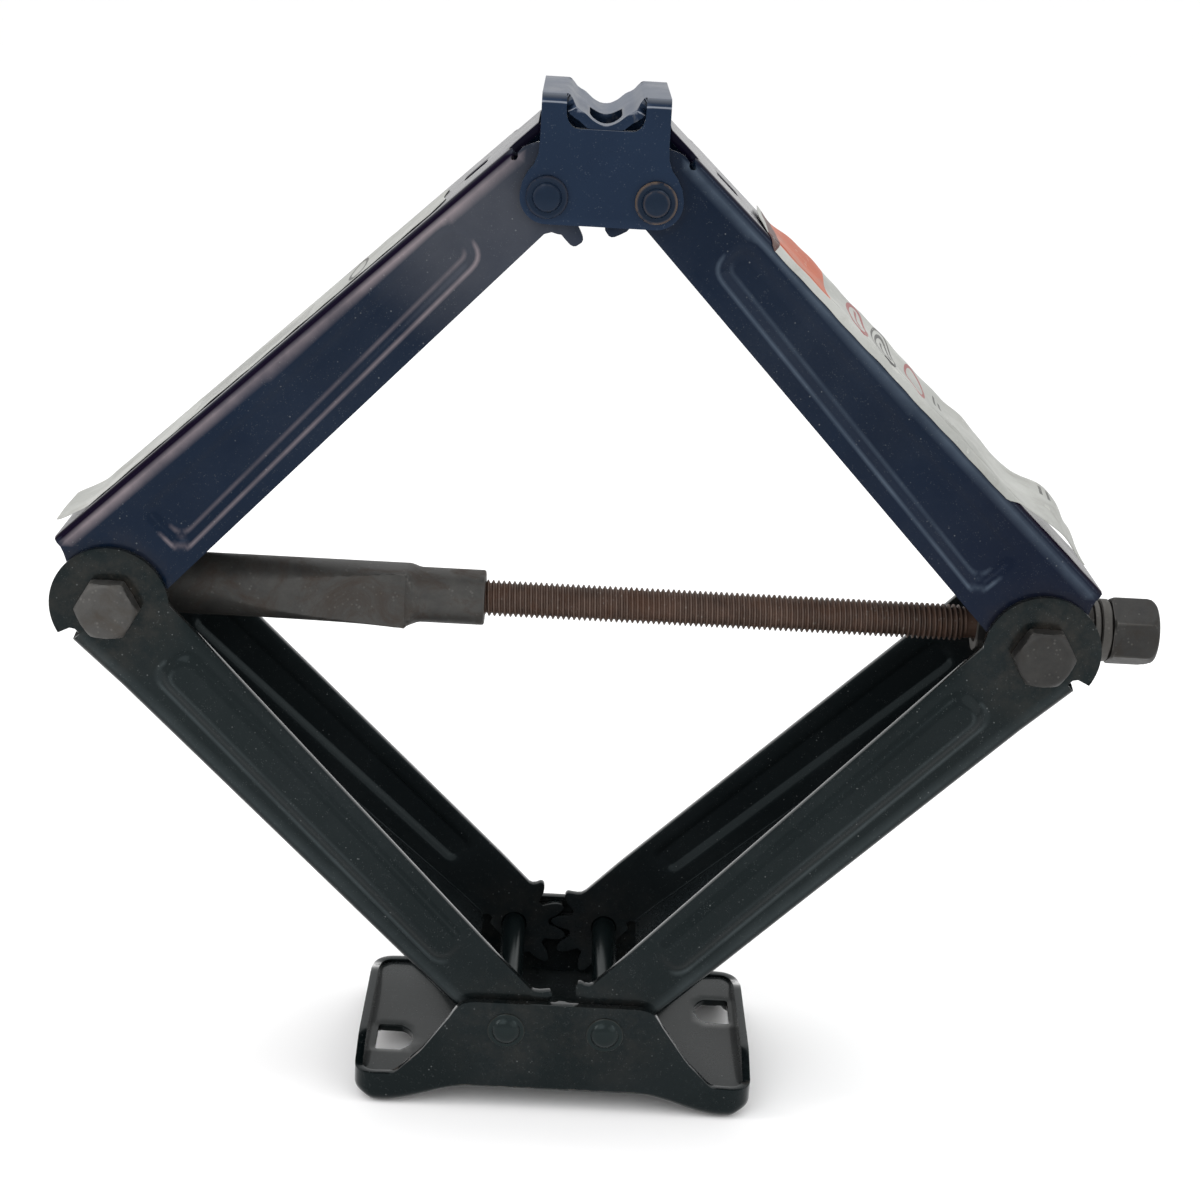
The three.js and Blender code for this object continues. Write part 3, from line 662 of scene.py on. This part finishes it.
def tooth_run(phase, lead, end, tooth):
    """The teeth round the gear pivot, from the arm's edge to the angle where the last root arc ends.

    phase is the first tooth's angle, and lead runs from the edge into it.
    """
    centre = (ARM, 0)
    points = [(ARM + s, n) for s, n in lead]
    meets = math.hypot(*lead[-1]) + 0.4
    angle = None
    for i in range(4):
        middle = phase + i * TOOTH_PITCH
        if angle is not None:
            root = middle - tooth[0][1]
            points += arc(centre, ROOT_R, angle, root, max(1, round((root - angle) / 7)))[:-1]
        points += [polar(centre, r, middle - half) for r, half in tooth if angle is not None or r > meets]
        points += [polar(centre, r, middle + half) for r, half in reversed(tooth)][:-1]
        angle = middle + tooth[0][1]
    return points + (arc(centre, ROOT_R, angle, end, max(1, round((end - angle) / 7))) if end > angle else [])


def skin(s, n, edge):
    """Place of a wall point on the unfolded sheet: BLANK_BEND is the lower end of the fold."""
    below = along(edge, s) - FOLD - n
    return (s, BLANK_BEND + (below if below > 0 else below * (BLANK_BEND - BLANK_WEB) * 2 / (FOLD * math.pi)))


def arm_place(side, level):
    """Turns arm-frame rows into jack coordinates, and says whether that mirrors them."""
    c, t = math.cos(REST), math.sin(REST)
    basis = np.array([[-side * c, 0, level * t], [0, 1, 0], [side * t, 0, level * c]])
    origin = np.array([side * SIDE_X + MIDDLE_X, 0, SIDE_Z])
    return (lambda rows: rows @ basis + origin), np.linalg.det(basis) < 0


def mark_points(piece, name, values):
    layer = piece.data.attributes.new(name, "FLOAT", "POINT")
    layer.data.foreach_set("value", np.ascontiguousarray(values, np.float32))


def build_arm(arm, side, walls, web, extra=()):
    """Folds one arm from its flat blank: front and rear wall outlines, web ends, panels and holes."""
    start, end = web
    edge, panel, upper = arm["edge"], arm["panel"], arm["level"] > 0
    front, rear = ([skin(s, n, edge) for s, n in wall] for wall in walls)
    outline = [(s, -q) for s, q in front] + end + [(s, q) for s, q in reversed(rear)] + start
    holes, rings = [], []
    for centre, radius in (((0, 0), BOLT_HOLE_R), ((ARM, 0), PIN_HOLE_R)):
        ring = [skin(s, n, edge) for s, n in arc(centre, radius, 0, 360, 28)[:-1]]
        holes += [ring, [(s, -q) for s, q in ring]]
    holes += list(extra)
    for grow in PANEL_RINGS:
        ring = [skin(s, n, edge) for s, n in panel(grow)]
        rings += [ring, [(s, -q) for s, q in ring]]
    us = np.arange(-19, 210, 3.4)
    vs = both_ways([*np.arange(0, 10, 2.0), *np.arange(10, 16.1, 1.0), *np.arange(19, 62, 3.0)])
    flat, faces = flat_mesh(outline, holes, rings, us, vs, clear=0.9)
    s, a, sign = flat[:, 0], np.abs(flat[:, 1]), np.sign(flat[:, 1])

    out, wide = along(edge, s), arm["half"](s)
    turn = np.clip((a - BLANK_WEB) / (BLANK_BEND - BLANK_WEB), 0, 1) * QUARTER
    y = np.where(a <= BLANK_WEB, a / BLANK_WEB * (wide - FOLD), wide - FOLD + FOLD * np.sin(turn))
    n = np.where(a <= BLANK_WEB, out, out - FOLD + FOLD * np.cos(turn))
    n = np.where(a > BLANK_BEND, out - FOLD - (a - BLANK_BEND), n)
    first, last = arm["fold"]
    loose = (a > 9) & (a < BLANK_BEND) & ((s < first) | (s > last))
    y = np.where(loose, wide, y)
    n = np.where(loose, out - FOLD + (BLANK_BEND - a) * FOLD * math.pi / 12, n)
    on_wall = a > BLANK_BEND
    depth = depth_inside(np.stack([s, n], 1), panel(0.0))
    y = y + arm["lift"] * smooth((depth + 1.9) / 3.8) * on_wall
    place, mirrored = arm_place(side, arm["level"])
    piece = make_piece(arm["name"] + "_sheet", place(np.stack([s, sign * y, n], 1)), faces.tolist(),
                       arm["body"], arm["name"], arm["slot"], arm["paints"][0], inside_out=mirrored)

    # paint marks: painted highlights along the bends and the panels' lower edges, painted shade with duller
    # gloss on the webs and towards the right upper arm's lower end, and a painted dark band beside a bend on
    # the left upper arm
    bent = (s > first + 1) & (s < last - 1)
    # painted highlight along the bend
    bend_highlight = np.interp(a, [14.6, 15.4, 16.1, 17.4], [0, 1, 1, 0]) * bent * arm["bend_highlight"]
    lower = smooth((float(np.mean(panel(0.0), axis=0)[1]) - n) / 3) if upper else smooth((n + 2) / 3)
    # painted highlight along the panel's edges, on its lower side
    panel_edge_highlight = np.maximum(np.interp(depth, [-2.7, -2.1, -1.7, -1.1], [0, 1, 1, 0]),
                        0.55 * np.interp(depth, [1.1, 1.7, 2.1, 2.7], [0, 1, 1, 0])) * lower * on_wall
    mark_points(piece, "painted_highlight", np.maximum(bend_highlight, panel_edge_highlight * 0.42))
    # painted shade: a dark band beside the bend, on the left upper arm only
    painted_dark_band = np.interp(a, [11.6, 12.6, 14.3, 15.1], [0, 1, 1, 0]) * bent * arm["painted_dark_band"]
    # painted shade with duller gloss: on the webs, and towards the lower end of the right upper arm
    web_shade = (a < 12.5) * (np.where(s < 60, 1.0, 0.8) if upper else 0.75)
    end_shade = (1 - arm["painted_dark_band"]) * 0.32 * np.clip((80 - s) / 70, 0, 1) * (a > 12.5) * upper
    mark_points(piece, "shade", np.maximum(painted_dark_band, web_shade + end_shade))
    thicken(piece, SHEET, inside_paint=arm["paints"][1])


def upper_panel(grow):
    return rounded([(30 - grow, -2.2 - grow), (162 + grow, 1.4 - grow), (162 + grow, 11.6 + grow),
                    (30 - grow, 13.8 + grow)], (4.5, 8, 8, 4.5), 6)


def lower_bead(grow):
    return rounded([(27 - grow, -8 - grow), (158 + grow, -10 - grow), (158 + grow, 0.5 + grow),
                    (27 - grow, 4.5 + grow)], 6, 6)


def flare(s):
    share = np.clip((s - LOWER_BENDS[0]) / (LOWER_BENDS[1] - LOWER_BENDS[0]), 0, 1)
    return LOWER_HALF[0] + (LOWER_HALF[1] - LOWER_HALF[0]) * share


# The arms of a pair are one part turned half round: the front wall's teeth on one side are the rear
# wall's on the other, half a pitch apart.
UPPER_TEETH = ((-100, ((-8.6, -7.9), (-6.6, -9.0), (-5.7, -10.6))),
               (-82, ((-3.2, -7.9), (-1.8, -8.9), (-1.0, -10.8))))
LOWER_TEETH = ((-87.5, ((-5.0, -14.9), (-3.2, -15.3), (-2.0, -16.3))),
               (-105.5, ((-8.4, -14.9), (-7.2, -15.4))))
LOBE = [(13.4, 43), (14.8, 47), (15.7, 52), *((15.9, a) for a in range(56, 80, 6)), (15.3, 82)]


def upper_arm(side, tag):
    lobe = [polar((ARM, 0), r, a) for r, a in LOBE]
    walls = [[(2, 23.6), (1.2, 21.5), (-1, 17.5), *arc((0, 0), 13, 145, 290, 16), (16, along(UPPER_IN, 16)),
              *tooth_run(phase, lead, 40, UPPER_TOOTH), *lobe, (191.4, 14.2), (190.2, 13.9), (189.4, 14.8)]
             for phase, lead in UPPER_TEETH[::-side]]
    start = [(2, 12), (2, -12)]
    half_end = [(189.4, -15), (191.5, -13), (191.8, -11.5), (190.6, -9.7), (190.8, -8.6), (193, -8.1),
                (202, -8.1)]
    end = half_end + [(s, -q) for s, q in reversed(half_end)]
    slot_hole = rounded([(171.5, -1.45), (181, -1.45), (181, 1.45), (171.5, 1.45)], 1.3)
    left = side < 0
    arm = {"name": f"upper_arm_{tag}", "body": f"upper_{tag}", "slot": "upper_paint", "level": 1,
           "edge": UPPER_OUT, "half": lambda s: UPPER_HALF + 0 * s, "fold": (1, 192.5),
           "panel": upper_panel, "lift": -1.6,
           # crest and line set how strong the painted highlight on the bend and the painted dark band beside it
           # are
           "paints": (NAVY_OUTSIDE[tag], NAVY), "bend_highlight": 0.55 if left else 0.4, "painted_dark_band": 1.0 if left else 0.0}
    build_arm(arm, side, walls, (start, end), [slot_hole])


def lower_arm(side, tag):
    walls = [[(0.6, 13.9), (0.2, 13.6), (-1.6, 13.6), (-3.0, 14.6), *arc((0, 0), 19, 103, 311, 44),
              *tooth_run(phase, lead, 34, LOWER_TOOTH), (184, 6.4), (183.2, 4.4), (181.4, 4.4)]
             for phase, lead in LOWER_TEETH[::-side]]
    start = [(0.6, 10), (6, 7), (14, 4), (14, -4), (6, -7), (0.6, -10)]
    end = [(180.4, -15), (180, -10), (180, 10), (180.4, 15)]
    arm = {"name": f"lower_arm_{tag}", "body": f"lower_{tag}", "slot": "lower_paint", "level": -1,
           "edge": LOWER_OUT, "half": flare, "fold": (-0.5, 181), "panel": lower_bead, "lift": 1.6,
           # crest sets how strong the painted highlight on the bends is; line 0 means no painted dark band
           "paints": (GREEN_OUTSIDE, GREEN_INSIDE_LIT), "bend_highlight": 0.25, "painted_dark_band": 0.0}
    build_arm(arm, side, walls, (start, end))


# ---------------- base

CORNER = 7.0                     # plan radius of the base's corners
CURL = 3.6                       # outer radius where the wall's lower edge turns inward


def walk_round(half_x, half_y, corner, step):
    """Points round a rounded rectangle, each with its outward direction."""
    walk = []
    for sx, sy, start in ((1, 1, 0), (-1, 1, 90), (-1, -1, 180), (1, -1, 270)):
        walk += [(sx * (half_x - corner), sy * (half_y - corner), start + 90 * k / 8) for k in range(9)]
    out = []
    for (ax, ay, a), (bx, by, _) in zip(walk, walk[1:] + walk[:1]):
        steps = max(1, round(math.hypot(bx - ax, by - ay) / step))
        ux, uy = math.cos(a * DEG), math.sin(a * DEG)
        out += [(ax + (bx - ax) * k / steps + ux * corner, ay + (by - ay) * k / steps + uy * corner, ux, uy)
                for k in range(steps)]
    return out


def wall_top(x, y):
    """Height of the wall's edge: rivet plates front and rear, low rims at the sides, lower corners."""
    ax, ay = abs(x), abs(y)
    if ax > BASE_HALF[0] - 1:
        return 11.0 + 5.0 * float(smooth((38.5 - ay) / 18))
    return float(np.interp(ax, [0, 27, 30, 32, 33.8, 35.5, 44.4, 52.8, 54.5, 60, 67],
                           [39.5, 39.5, 39.0, 38.0, 35.8, 33.0, 20.2, 11.6, 11.2, 11.0, 11.0]))


def foot_share(x, y):
    """1 at the four corners that stand on the ground, 0 between them."""
    return float(smooth((abs(x) - 28) / 29) * smooth((abs(y) - 10) / 27))


def wall_foot(x, y):
    """Height of the wall's lower edge: on the ground at the four feet, raised between them."""
    foot = foot_share(x, y)
    return 7.8 * (1 - foot) + 1.6 * foot * float(smooth((abs(x) - 59.5) / 6))


def build_wall():
    points, faces = [], []
    walk = walk_round(*BASE_HALF, CORNER, 1.6)
    levels = np.linspace(0, 1, 13)
    turns = [QUARTER * k / 5 for k in range(1, 6)]
    rows = len(levels) + len(turns) + 1
    for x, y, ux, uy in walk:
        low, high, share = wall_foot(x, y), wall_top(x, y), foot_share(x, y)
        bend = min(1.0 + (CURL - 1.0) * share, (high - low) * 0.8)
        section = [(0, high + (low + bend - high) * t) for t in levels]
        section += [(bend * (1 - math.cos(t)), low + bend * (1 - math.sin(t))) for t in turns]
        section.append((bend + 0.4 + 2.0 * share, low))
        points += [(x - ux * inward + MIDDLE_X, y - uy * inward, z) for inward, z in section]
    for i in range(len(walk)):
        here, there = i * rows, (i + 1) % len(walk) * rows
        faces += [(here + k, here + k + 1, there + k + 1, there + k) for k in range(rows - 1)]
    thicken(make_piece("base_wall", points, faces, "base", "base_plate", "lower_paint", GREEN_BLACK),
            BASE_SHEET, 0.38)


def build_plate():
    inset = 1.2
    walk = walk_round(BASE_HALF[0] - inset, BASE_HALF[1] - inset, CORNER - inset, 1.6)
    outline = [(x, y) for x, y, _, _ in walk]
    holes = []
    for x, y, side in ((-55, -15, 1), (56, 14.2, -1)):
        nose = [(x + side * 6.3 * u, y + 8.7 * v) for u, v in arc((0, 0), 1, -68, 68, 14)]
        holes.append(rounded([(x - side * 6, y - 8.1), *nose, (x - side * 6, y + 8.1)], 1.2, 3))
    us, vs = np.arange(-64, 65, 4.0), np.arange(-38, 39, 4.0)
    flat, faces = flat_mesh(outline, holes, [], us, vs, clear=1.4, step=2.0)
    x, y = flat.T
    warp = 0.35 * np.sin(x * 0.06 + 0.8) * np.cos(y * 0.07)
    points = np.stack([x + MIDDLE_X, y, PLATE_TOP - 0.2 + warp], 1)
    thicken(make_piece("base_floor", points, faces.tolist(), "base", "base_plate", "lower_paint", PLATE_PAINT),
            2.4, 0.45)


# ---------------- load head

HEAD_HALF = 28.3
HEAD_TOP = 30.3
HEAD_BEND = 3.2
HEAD_FLAT = HEAD_HALF - HEAD_BEND
HEAD_FOLD = HEAD_BEND * QUARTER
SADDLE = ([0, 2, 4, 5.5, 6.8, 8.2, 9.2, 10.2, 11.0, 11.6, 20],
          [22.4, 22.75, 23.9, 25.2, 26.3, 26.75, 27.7, 29.1, 30.0, HEAD_TOP, HEAD_TOP])


def cheek_skin(x, z):
    return (x, HEAD_FLAT + HEAD_FOLD + HEAD_TOP - HEAD_BEND - z)


def build_head():
    """One pressing laid out flat, q out from the middle of the top, then bent down at front and rear."""
    lobe = arc((PIVOT_HALF, 0), 8.2, -92, -8, 14)
    side = [*lobe, (24.55, 0.8), (23.9, 4.2), (22.4, 7.2), (20.6, 9.6), (19.5, 12.6), (19.2, 17), (19.2, 27.1)]
    quarter = [cheek_skin(x, z) for x, z in side] + [(19.2, HEAD_FLAT)]
    outline = [(x, -q) for x, q in quarter] + quarter[::-1]
    outline += [(-x, q) for x, q in quarter] + [(-x, -q) for x, q in reversed(quarter)]
    holes = [rounded([(-4.9, -22), (4.9, -22), (4.9, -3), (-4.9, -3)], 9, 8)]
    half_window = [(-11.9, 24.6), (-10.9, 24.6), (-9.6, 26.8), (-8.2, 28.0)]
    window = half_window + [(-x, q) for x, q in reversed(half_window)]
    window += [cheek_skin(x, z) for x, z in ((11.7, 23.4), (9.6, 20.5), (-9.6, 20.5), (-11.7, 23.4))]
    for end in (-1, 1):
        holes.append([(x, end * q) for x, q in rounded(window, 1.6, 3)])
        for s in (-1, 1):
            x, q = cheek_skin(s * PIVOT_HALF, 0)
            holes.append(arc((x, end * q), PIN_HOLE_R, 0, 360, 24)[:-1])
    us = np.arange(-24, 24.1, 1.5)
    vs = both_ways([*np.arange(0, 24, 2.0), *np.arange(24, 31, 0.8), *np.arange(32.5, 66, 2.5)])
    flat, faces = flat_mesh(outline, holes, [], us, vs, clear=0.6, step=1.2)
    x, q = flat[:, 0], flat[:, 1]
    a, sign = np.abs(q), np.sign(q)
    top = np.interp(np.abs(x), *SADDLE)
    top = top - 0.7 * smooth((a - 4) / 20) * (np.abs(x) < 10) * (q < 0)
    turn = np.clip((a - HEAD_FLAT) / HEAD_BEND, 0, QUARTER)
    y = np.where(a <= HEAD_FLAT, a, HEAD_FLAT + HEAD_BEND * np.sin(turn))
    z = top - HEAD_BEND * (1 - np.cos(turn)) - np.maximum(a - HEAD_FLAT - HEAD_FOLD, 0)
    lip = (np.abs(x) < 11.3) & (a < 29)
    y = np.where(lip, a, y)
    z = np.where(lip, top, z)
    z = np.where(a > HEAD_FLAT + HEAD_FOLD, HEAD_TOP - HEAD_BEND - (a - HEAD_FLAT - HEAD_FOLD), z)
    points = np.stack([x + MIDDLE_X, sign * y, z + HEAD_Z], 1)
    thicken(make_piece("head_press", points, faces.tolist(), "head", "load_head", "upper_paint", HEAD_PAINT),
            2.8, 0.45)


# ---------------- turned and hexagonal parts


def placed(points, faces, place, mirror=False):
    """Moves an origin-built solid into the row frame; mirrored ones swap front for rear."""
    points = points.copy()
    if mirror:
        points[:, 1] *= -1
        faces = [tuple(reversed(face)) for face in faces]
    return points + np.array(place), faces


def joined(*solids):
    points, faces, first = [], [], 0
    for p, f in solids:
        points.append(p)
        faces += [tuple(i + first for i in face) for face in f]
        first += len(p)
    return np.concatenate(points), faces


def add_solid(name, solid, at, body, node, slot, material, sharp, mirror=False):
    make_piece(name, *placed(*solid, at, mirror), body, node, slot, material, sharp)


def hexagon(apothem):
    """Limits a ring's radius to a hexagon of that half width."""
    def shape(angle, radius, _):
        off = (math.degrees(angle) - 30) % 60 - 30
        r = min(radius, apothem / math.cos(off * DEG))
        return r * math.cos(angle), r * math.sin(angle)
    return shape


def two_heads(face):
    """A rivet from one head's profile, which ends on the axis."""
    return lathe([(r, -y) for r, y in reversed(face)] + face, 40, "y")


def head_rivet_solid():
    """Shank with a head each end: a flat rim, a shallow groove and a low dome."""
    seat, radius, height = HEAD_HALF + 0.25, 6.4, 3.0
    rim = [(4.3, seat), (radius - 0.5, seat), (radius, seat + 0.25), (radius, seat + height * 0.3),
           (radius - 0.25, seat + height * 0.45)]
    dome = ((0.86, 0.5), (0.76, 0.44), (0.71, 0.46), (0.67, 0.66), (0.6, 0.84), (0.45, 0.94), (0.25, 0.99),
            (0, 1))
    return two_heads(rim + [(radius * r, seat + height * h) for r, h in dome])


def base_rivet_solid():
    """Shank with low rounded heads, nearly flush with the base's walls."""
    face = ((4.3, 0.05), (6.2, 0.05), (6.15, 0.3), (5.9, 0.5), (5.3, 0.52), (4.7, 0.5), (4.35, 0.95),
            (3.8, 1.6), (2.8, 2.1), (1.4, 2.35), (0, 2.4))
    return two_heads([(r, BASE_HALF[1] + h) for r, h in face])


def bolt_solid():
    """Hexagon bolt entering along +Y, its head resting on the rear wall."""
    seat = LOWER_HALF[0] + 0.3
    chamfer = [(10.4, 32.3), (9.9, 33.0), (9.4, 33.6), (8.9, 34.1), (8.4, 34.5), (7.9, 34.72), (7.4, 34.8)]
    shank = [(0, 9.6), (4.4, 9.6), (4.9, 10.1), (4.9, seat), (8.6, seat), (8.9, seat + 0.15)]
    profile = [*shank, (8.9, seat + 0.55), (10.0, seat + 0.65), (10.4, seat + 1.0), *chamfer,
               (5.6, 34.72), (4.8, 34.5), (2.4, 34.42), (0, 34.4)]
    return lathe(profile, 72, "y", hexagon(8.92))


def sleeve_section(angle, radius, at):
    """The screw sleeve's round section, pressed square on its front from 34 to 92 mm out."""
    y, z = radius * math.cos(angle), radius * math.sin(angle)
    press = min(max((at - 34) / 58, 0), 1) * (1 if at < 92 else max(0, 1 - (at - 92) / 3))
    if y < 0 and press > 0 and radius > 8.8:
        flat = radius - 1.75 * press ** 0.8
        edge = radius * 0.92 * math.sqrt(press)
        bulge = flat / math.sqrt(1 - (edge / radius) ** 2)
        y = -min(flat, bulge * abs(math.cos(angle)))
    return y, z


def trunnion_solid():
    front = [(0, -9), (5.3, -9), (5.3, -21.9), (5.6, -22.2), (10.3, -22.2), (11, -21.5)]
    return lathe(front + [(r, -y) for r, y in reversed(front)], 56, "y")


def build_rivets_and_bolts(side, tag):
    for where, z, solid, slot, paint in (
            ("base", BASE_Z, base_rivet_solid(), "lower_paint", PIN_PAINT),
            ("head", HEAD_Z, head_rivet_solid(), "upper_paint", RIVET_RUSTED if side > 0 else RIVET)):
        add_solid(f"{where}_rivet_{tag}", solid, (side * PIVOT_HALF + MIDDLE_X, 0, z), where,
                  f"{where}_pin_{tag}", slot, paint, 28)
    for face in ("front", "rear"):
        add_solid(f"pivot_bolt_{tag}_{face}_hex", bolt_solid(), (side * SIDE_X + MIDDLE_X, 0, SIDE_Z),
                  f"{tag}_trunnion", f"pivot_bolt_{tag}_{face}", "grey_steel",
                  STEEL if side < 0 else DARK_STEEL, 24, face == "front")


def build_drive():
    """The sleeve nut at the left pivot, and everything round the screw at the right one."""
    left, right = ((s * SIDE_X + MIDDLE_X, 0, SIDE_Z) for s in (-1, 1))
    tube = [(6.5, 9), (10.2, 9), *((10.2, float(x)) for x in np.arange(12, 92.1, 1.6)), (10.2, 92.8),
            (10.05, 93.8), (9.75, 94.8), (9.35, 95.8), (9.1, 97), (9.1, 117.2), (8.9, 117.8), (8.3, 118),
            (6.9, 118), (6.5, 117.6), (6.5, 9)]
    sleeve = joined(trunnion_solid(), lathe(tube, 96, "x", sleeve_section))
    add_solid("screw_sleeve", sleeve, left, "left_trunnion", "trunnion_nut", "grey_steel", SLEEVE, 26)

    boss = lathe([(0, 5), (9.8, 5), (9.8, 15.4), (9.3, 16), (0, 16)], 48, "x")
    races = lathe([(6.3, 16.3), (9.6, 16.3), (10, 16.7), (10, 18.2), (9.5, 18.5), (9.2, 18.7), (9.2, 20.4),
                   (9.5, 20.6), (10, 20.9), (10, 22.4), (9.6, 22.8), (6.3, 22.8), (6.3, 16.3)], 56, "x")
    washer = lathe([(6.2, 23.1), (10.0, 23.1), (10.4, 23.5), (10.4, 26.0), (10.0, 26.4), (6.2, 26.4),
                    (6.2, 23.1)], 56, "x")
    collar = lathe([(6.1, -17.5), (9.0, -17.5), (9.4, -17.1), (9.4, -12.0), (9.0, -11.6), (6.1, -11.6),
                    (6.1, -17.5)], 72, "x", hexagon(8.6))
    hexa = lathe([(0, 26.7), (9.6, 26.7), (10.6, 26.9), (11.5, 27.5), (11.7, 28.2), (11.7, 38.6), (11.45, 39.5),
                  (11.1, 40.3), (10.7, 41.0), (10.2, 41.6), (9.7, 42.0), (9.2, 42.2), (7.0, 42.2), (6.5, 41.9),
                  (6.2, 41.2), (6.2, 39.6), (0, 39.6)], 72, "x", hexagon(10.05))
    for name, solid, body, node, sharp in (
            ("drive_trunnion", joined(trunnion_solid(), boss), "right_trunnion", "trunnion_block", 28),
            ("thrust_races", races, "right_trunnion", "thrust_bearing", 28),
            ("drive_flange", washer, "screw", "drive_washer", 28),
            ("screw_stop", collar, "screw", "screw_collar", 28),
            ("drive_hexagon", hexa, "screw", "drive_hex", 24)):
        add_solid(name, solid, right, body, node, "grey_steel", DARK_STEEL, sharp)


def build_screw():
    """A real helical thread, M12 x 1.75, running out into the plain drive end."""
    pitch, major, minor, around = 1.75, 6.0, 4.98, 28
    stations = [(0.0, major - 0.06), (0.1, major), (0.3, major), (0.4, major - 0.06), (0.86, minor + 0.05),
                (0.98, minor), (1.2, minor), (1.32, minor + 0.05)]
    first, last = -291.0, -19.0
    points, faces, rows = [], [], []
    for turn in range(int((last - first) / pitch)):
        for offset, radius in stations:
            rows.append(range(len(points), len(points) + around))
            for k in range(around):
                x = first + (turn + k / around) * pitch + offset
                fade = min(1, max(0, (x - first - 1) / 3)) * min(1, max(0, (last - 1 - x) / 3))
                a = 2 * math.pi * k / around
                r = minor + (radius - minor) * fade
                points.append((x, r * math.cos(a), r * math.sin(a)))
    count = len(stations)
    for i in range(len(rows) - 1):
        faces += [(rows[i][k], rows[i][k + 1], rows[i + 1][k + 1], rows[i + 1][k]) for k in range(around - 1)]
        if i + count + 1 < len(rows):
            faces.append((rows[i][-1], rows[i + count][0], rows[i + count + 1][0], rows[i + 1][-1]))
    core = lathe([(0, first - 0.4), (4.2, first - 0.4), (4.85, first + 0.4), (4.85, last + 2),
                  (5.9, last + 2.4), (5.95, 39), (0, 39)], 40, "x")
    add_solid("screw_thread", joined((np.array(points), faces), core), (SIDE_X + MIDDLE_X, 0, SIDE_Z), "screw",
              "lead_screw", "rusty_thread", THREAD, 30)


# ---------------- labels


def label_height(s, y, side):
    """How far the paper stands off the web: wrinkles and curled ends; the right one's front wraps the bend."""
    wave = 0.35 + 0.22 * np.sin(s * 0.19 + 0.6) * np.cos(y * 0.13 + s * 0.03)
    wave = np.maximum(wave + 0.12 * np.sin(s * 0.53 + y * 0.21), 0.12)
    if side < 0:
        curl = np.clip((16 - s) / 12, 0, 1)
        return wave * 0.4 + 3.2 * curl ** 1.5
    wrap = np.clip((-21.6 - y) / 3.6, 0, 1)
    wrap = -2.6 * (1 - np.sqrt(1 - 0.96 * wrap ** 2))
    torn = 0.7 * np.exp(-((s - 163) / 4.5) ** 2) * smooth((y + 14) / 20)
    loose = 1.1 * np.exp(-((s - 63) / 7) ** 2) * (0.6 + 0.4 * np.sin(y * 0.35))
    loose = loose + 0.8 * np.exp(-((s - 75) / 4) ** 2) * smooth((-y) / 20)
    lifted = 1.5 * smooth((y + 2) / 22) * smooth((156 - s) / 12)
    u = np.clip((46 - s) / 34, 0, 1)
    curl = 9.5 * smooth(u) * (0.62 + 0.38 * np.sin(u * 5.2 - 0.5)) * (0.55 + 0.45 * smooth((y + 20) / 26))
    return wave * np.where(y < -20, 0.6, 1) + torn + loose * (y > -21) + lifted + curl + wrap * (1 - u)


def build_label(side, tag, start, end, half, outline):
    us = np.arange(start, end, 1.6)
    vs = sorted({*np.arange(-20, half + 0.1, 2.0), *np.arange(-25.0, -20, 0.8)})
    flat, faces = flat_mesh(outline, [], [], us, vs, clear=0.6, step=1.2)
    s, y = flat.T
    place, mirrored = arm_place(side, 1)
    points = place(np.stack([s, y, along(UPPER_OUT, s) + label_height(s, y, side)], 1))
    piece = make_piece(f"label_{tag}_paper", points, faces.tolist(), f"upper_{tag}", f"label_{tag}",
                       "label_paper", LABELS[tag], 50, inside_out=mirrored)
    uv = piece.data.uv_layers.new(name="print")
    for loop in piece.data.loops:
        uv.data[loop.index].uv = flat[loop.vertex_index] * PRINT
    thicken(piece, -0.16, 0.03, even=False)


# ---------------- the jack

for sgn, tag in ((-1, "left"), (1, "right")):
    upper_arm(sgn, tag)
    lower_arm(sgn, tag)
    build_rivets_and_bolts(sgn, tag)
build_wall()
build_plate()
build_head()
build_drive()
build_screw()
build_label(1, "right", 12, 164, 21, rounded([(12, -21), (40, -21), (46, -25.2), (157, -25.2), (160.5, -20),
                                              (162.5, -8), (163.5, 4), (162, 21), (12, 21)], 1.5, 2))
build_label(-1, "left", 4, 165, 17, rounded([(4, -17), (160, -17), (165, -11), (163, 0), (165, 10), (162, 17),
                                             (4, 17)], 2.5, 4))

FLOOR = 40.0
floor_mesh = bpy.data.meshes.new("floor")
corners = ((-1, -1), (1, -1), (1, 1), (-1, 1))
floor_mesh.from_pydata([(x * FLOOR, y * FLOOR, -0.0004) for x, y in corners], [], [(0, 1, 2, 3)])
floor = new_object("floor", floor_mesh)
pale = Nodes("pale_floor")
floor_mesh.materials.append(pale.finish(pale.mix(pale.noise(5), (0.93,) * 3, (0.96,) * 3), 0.75))
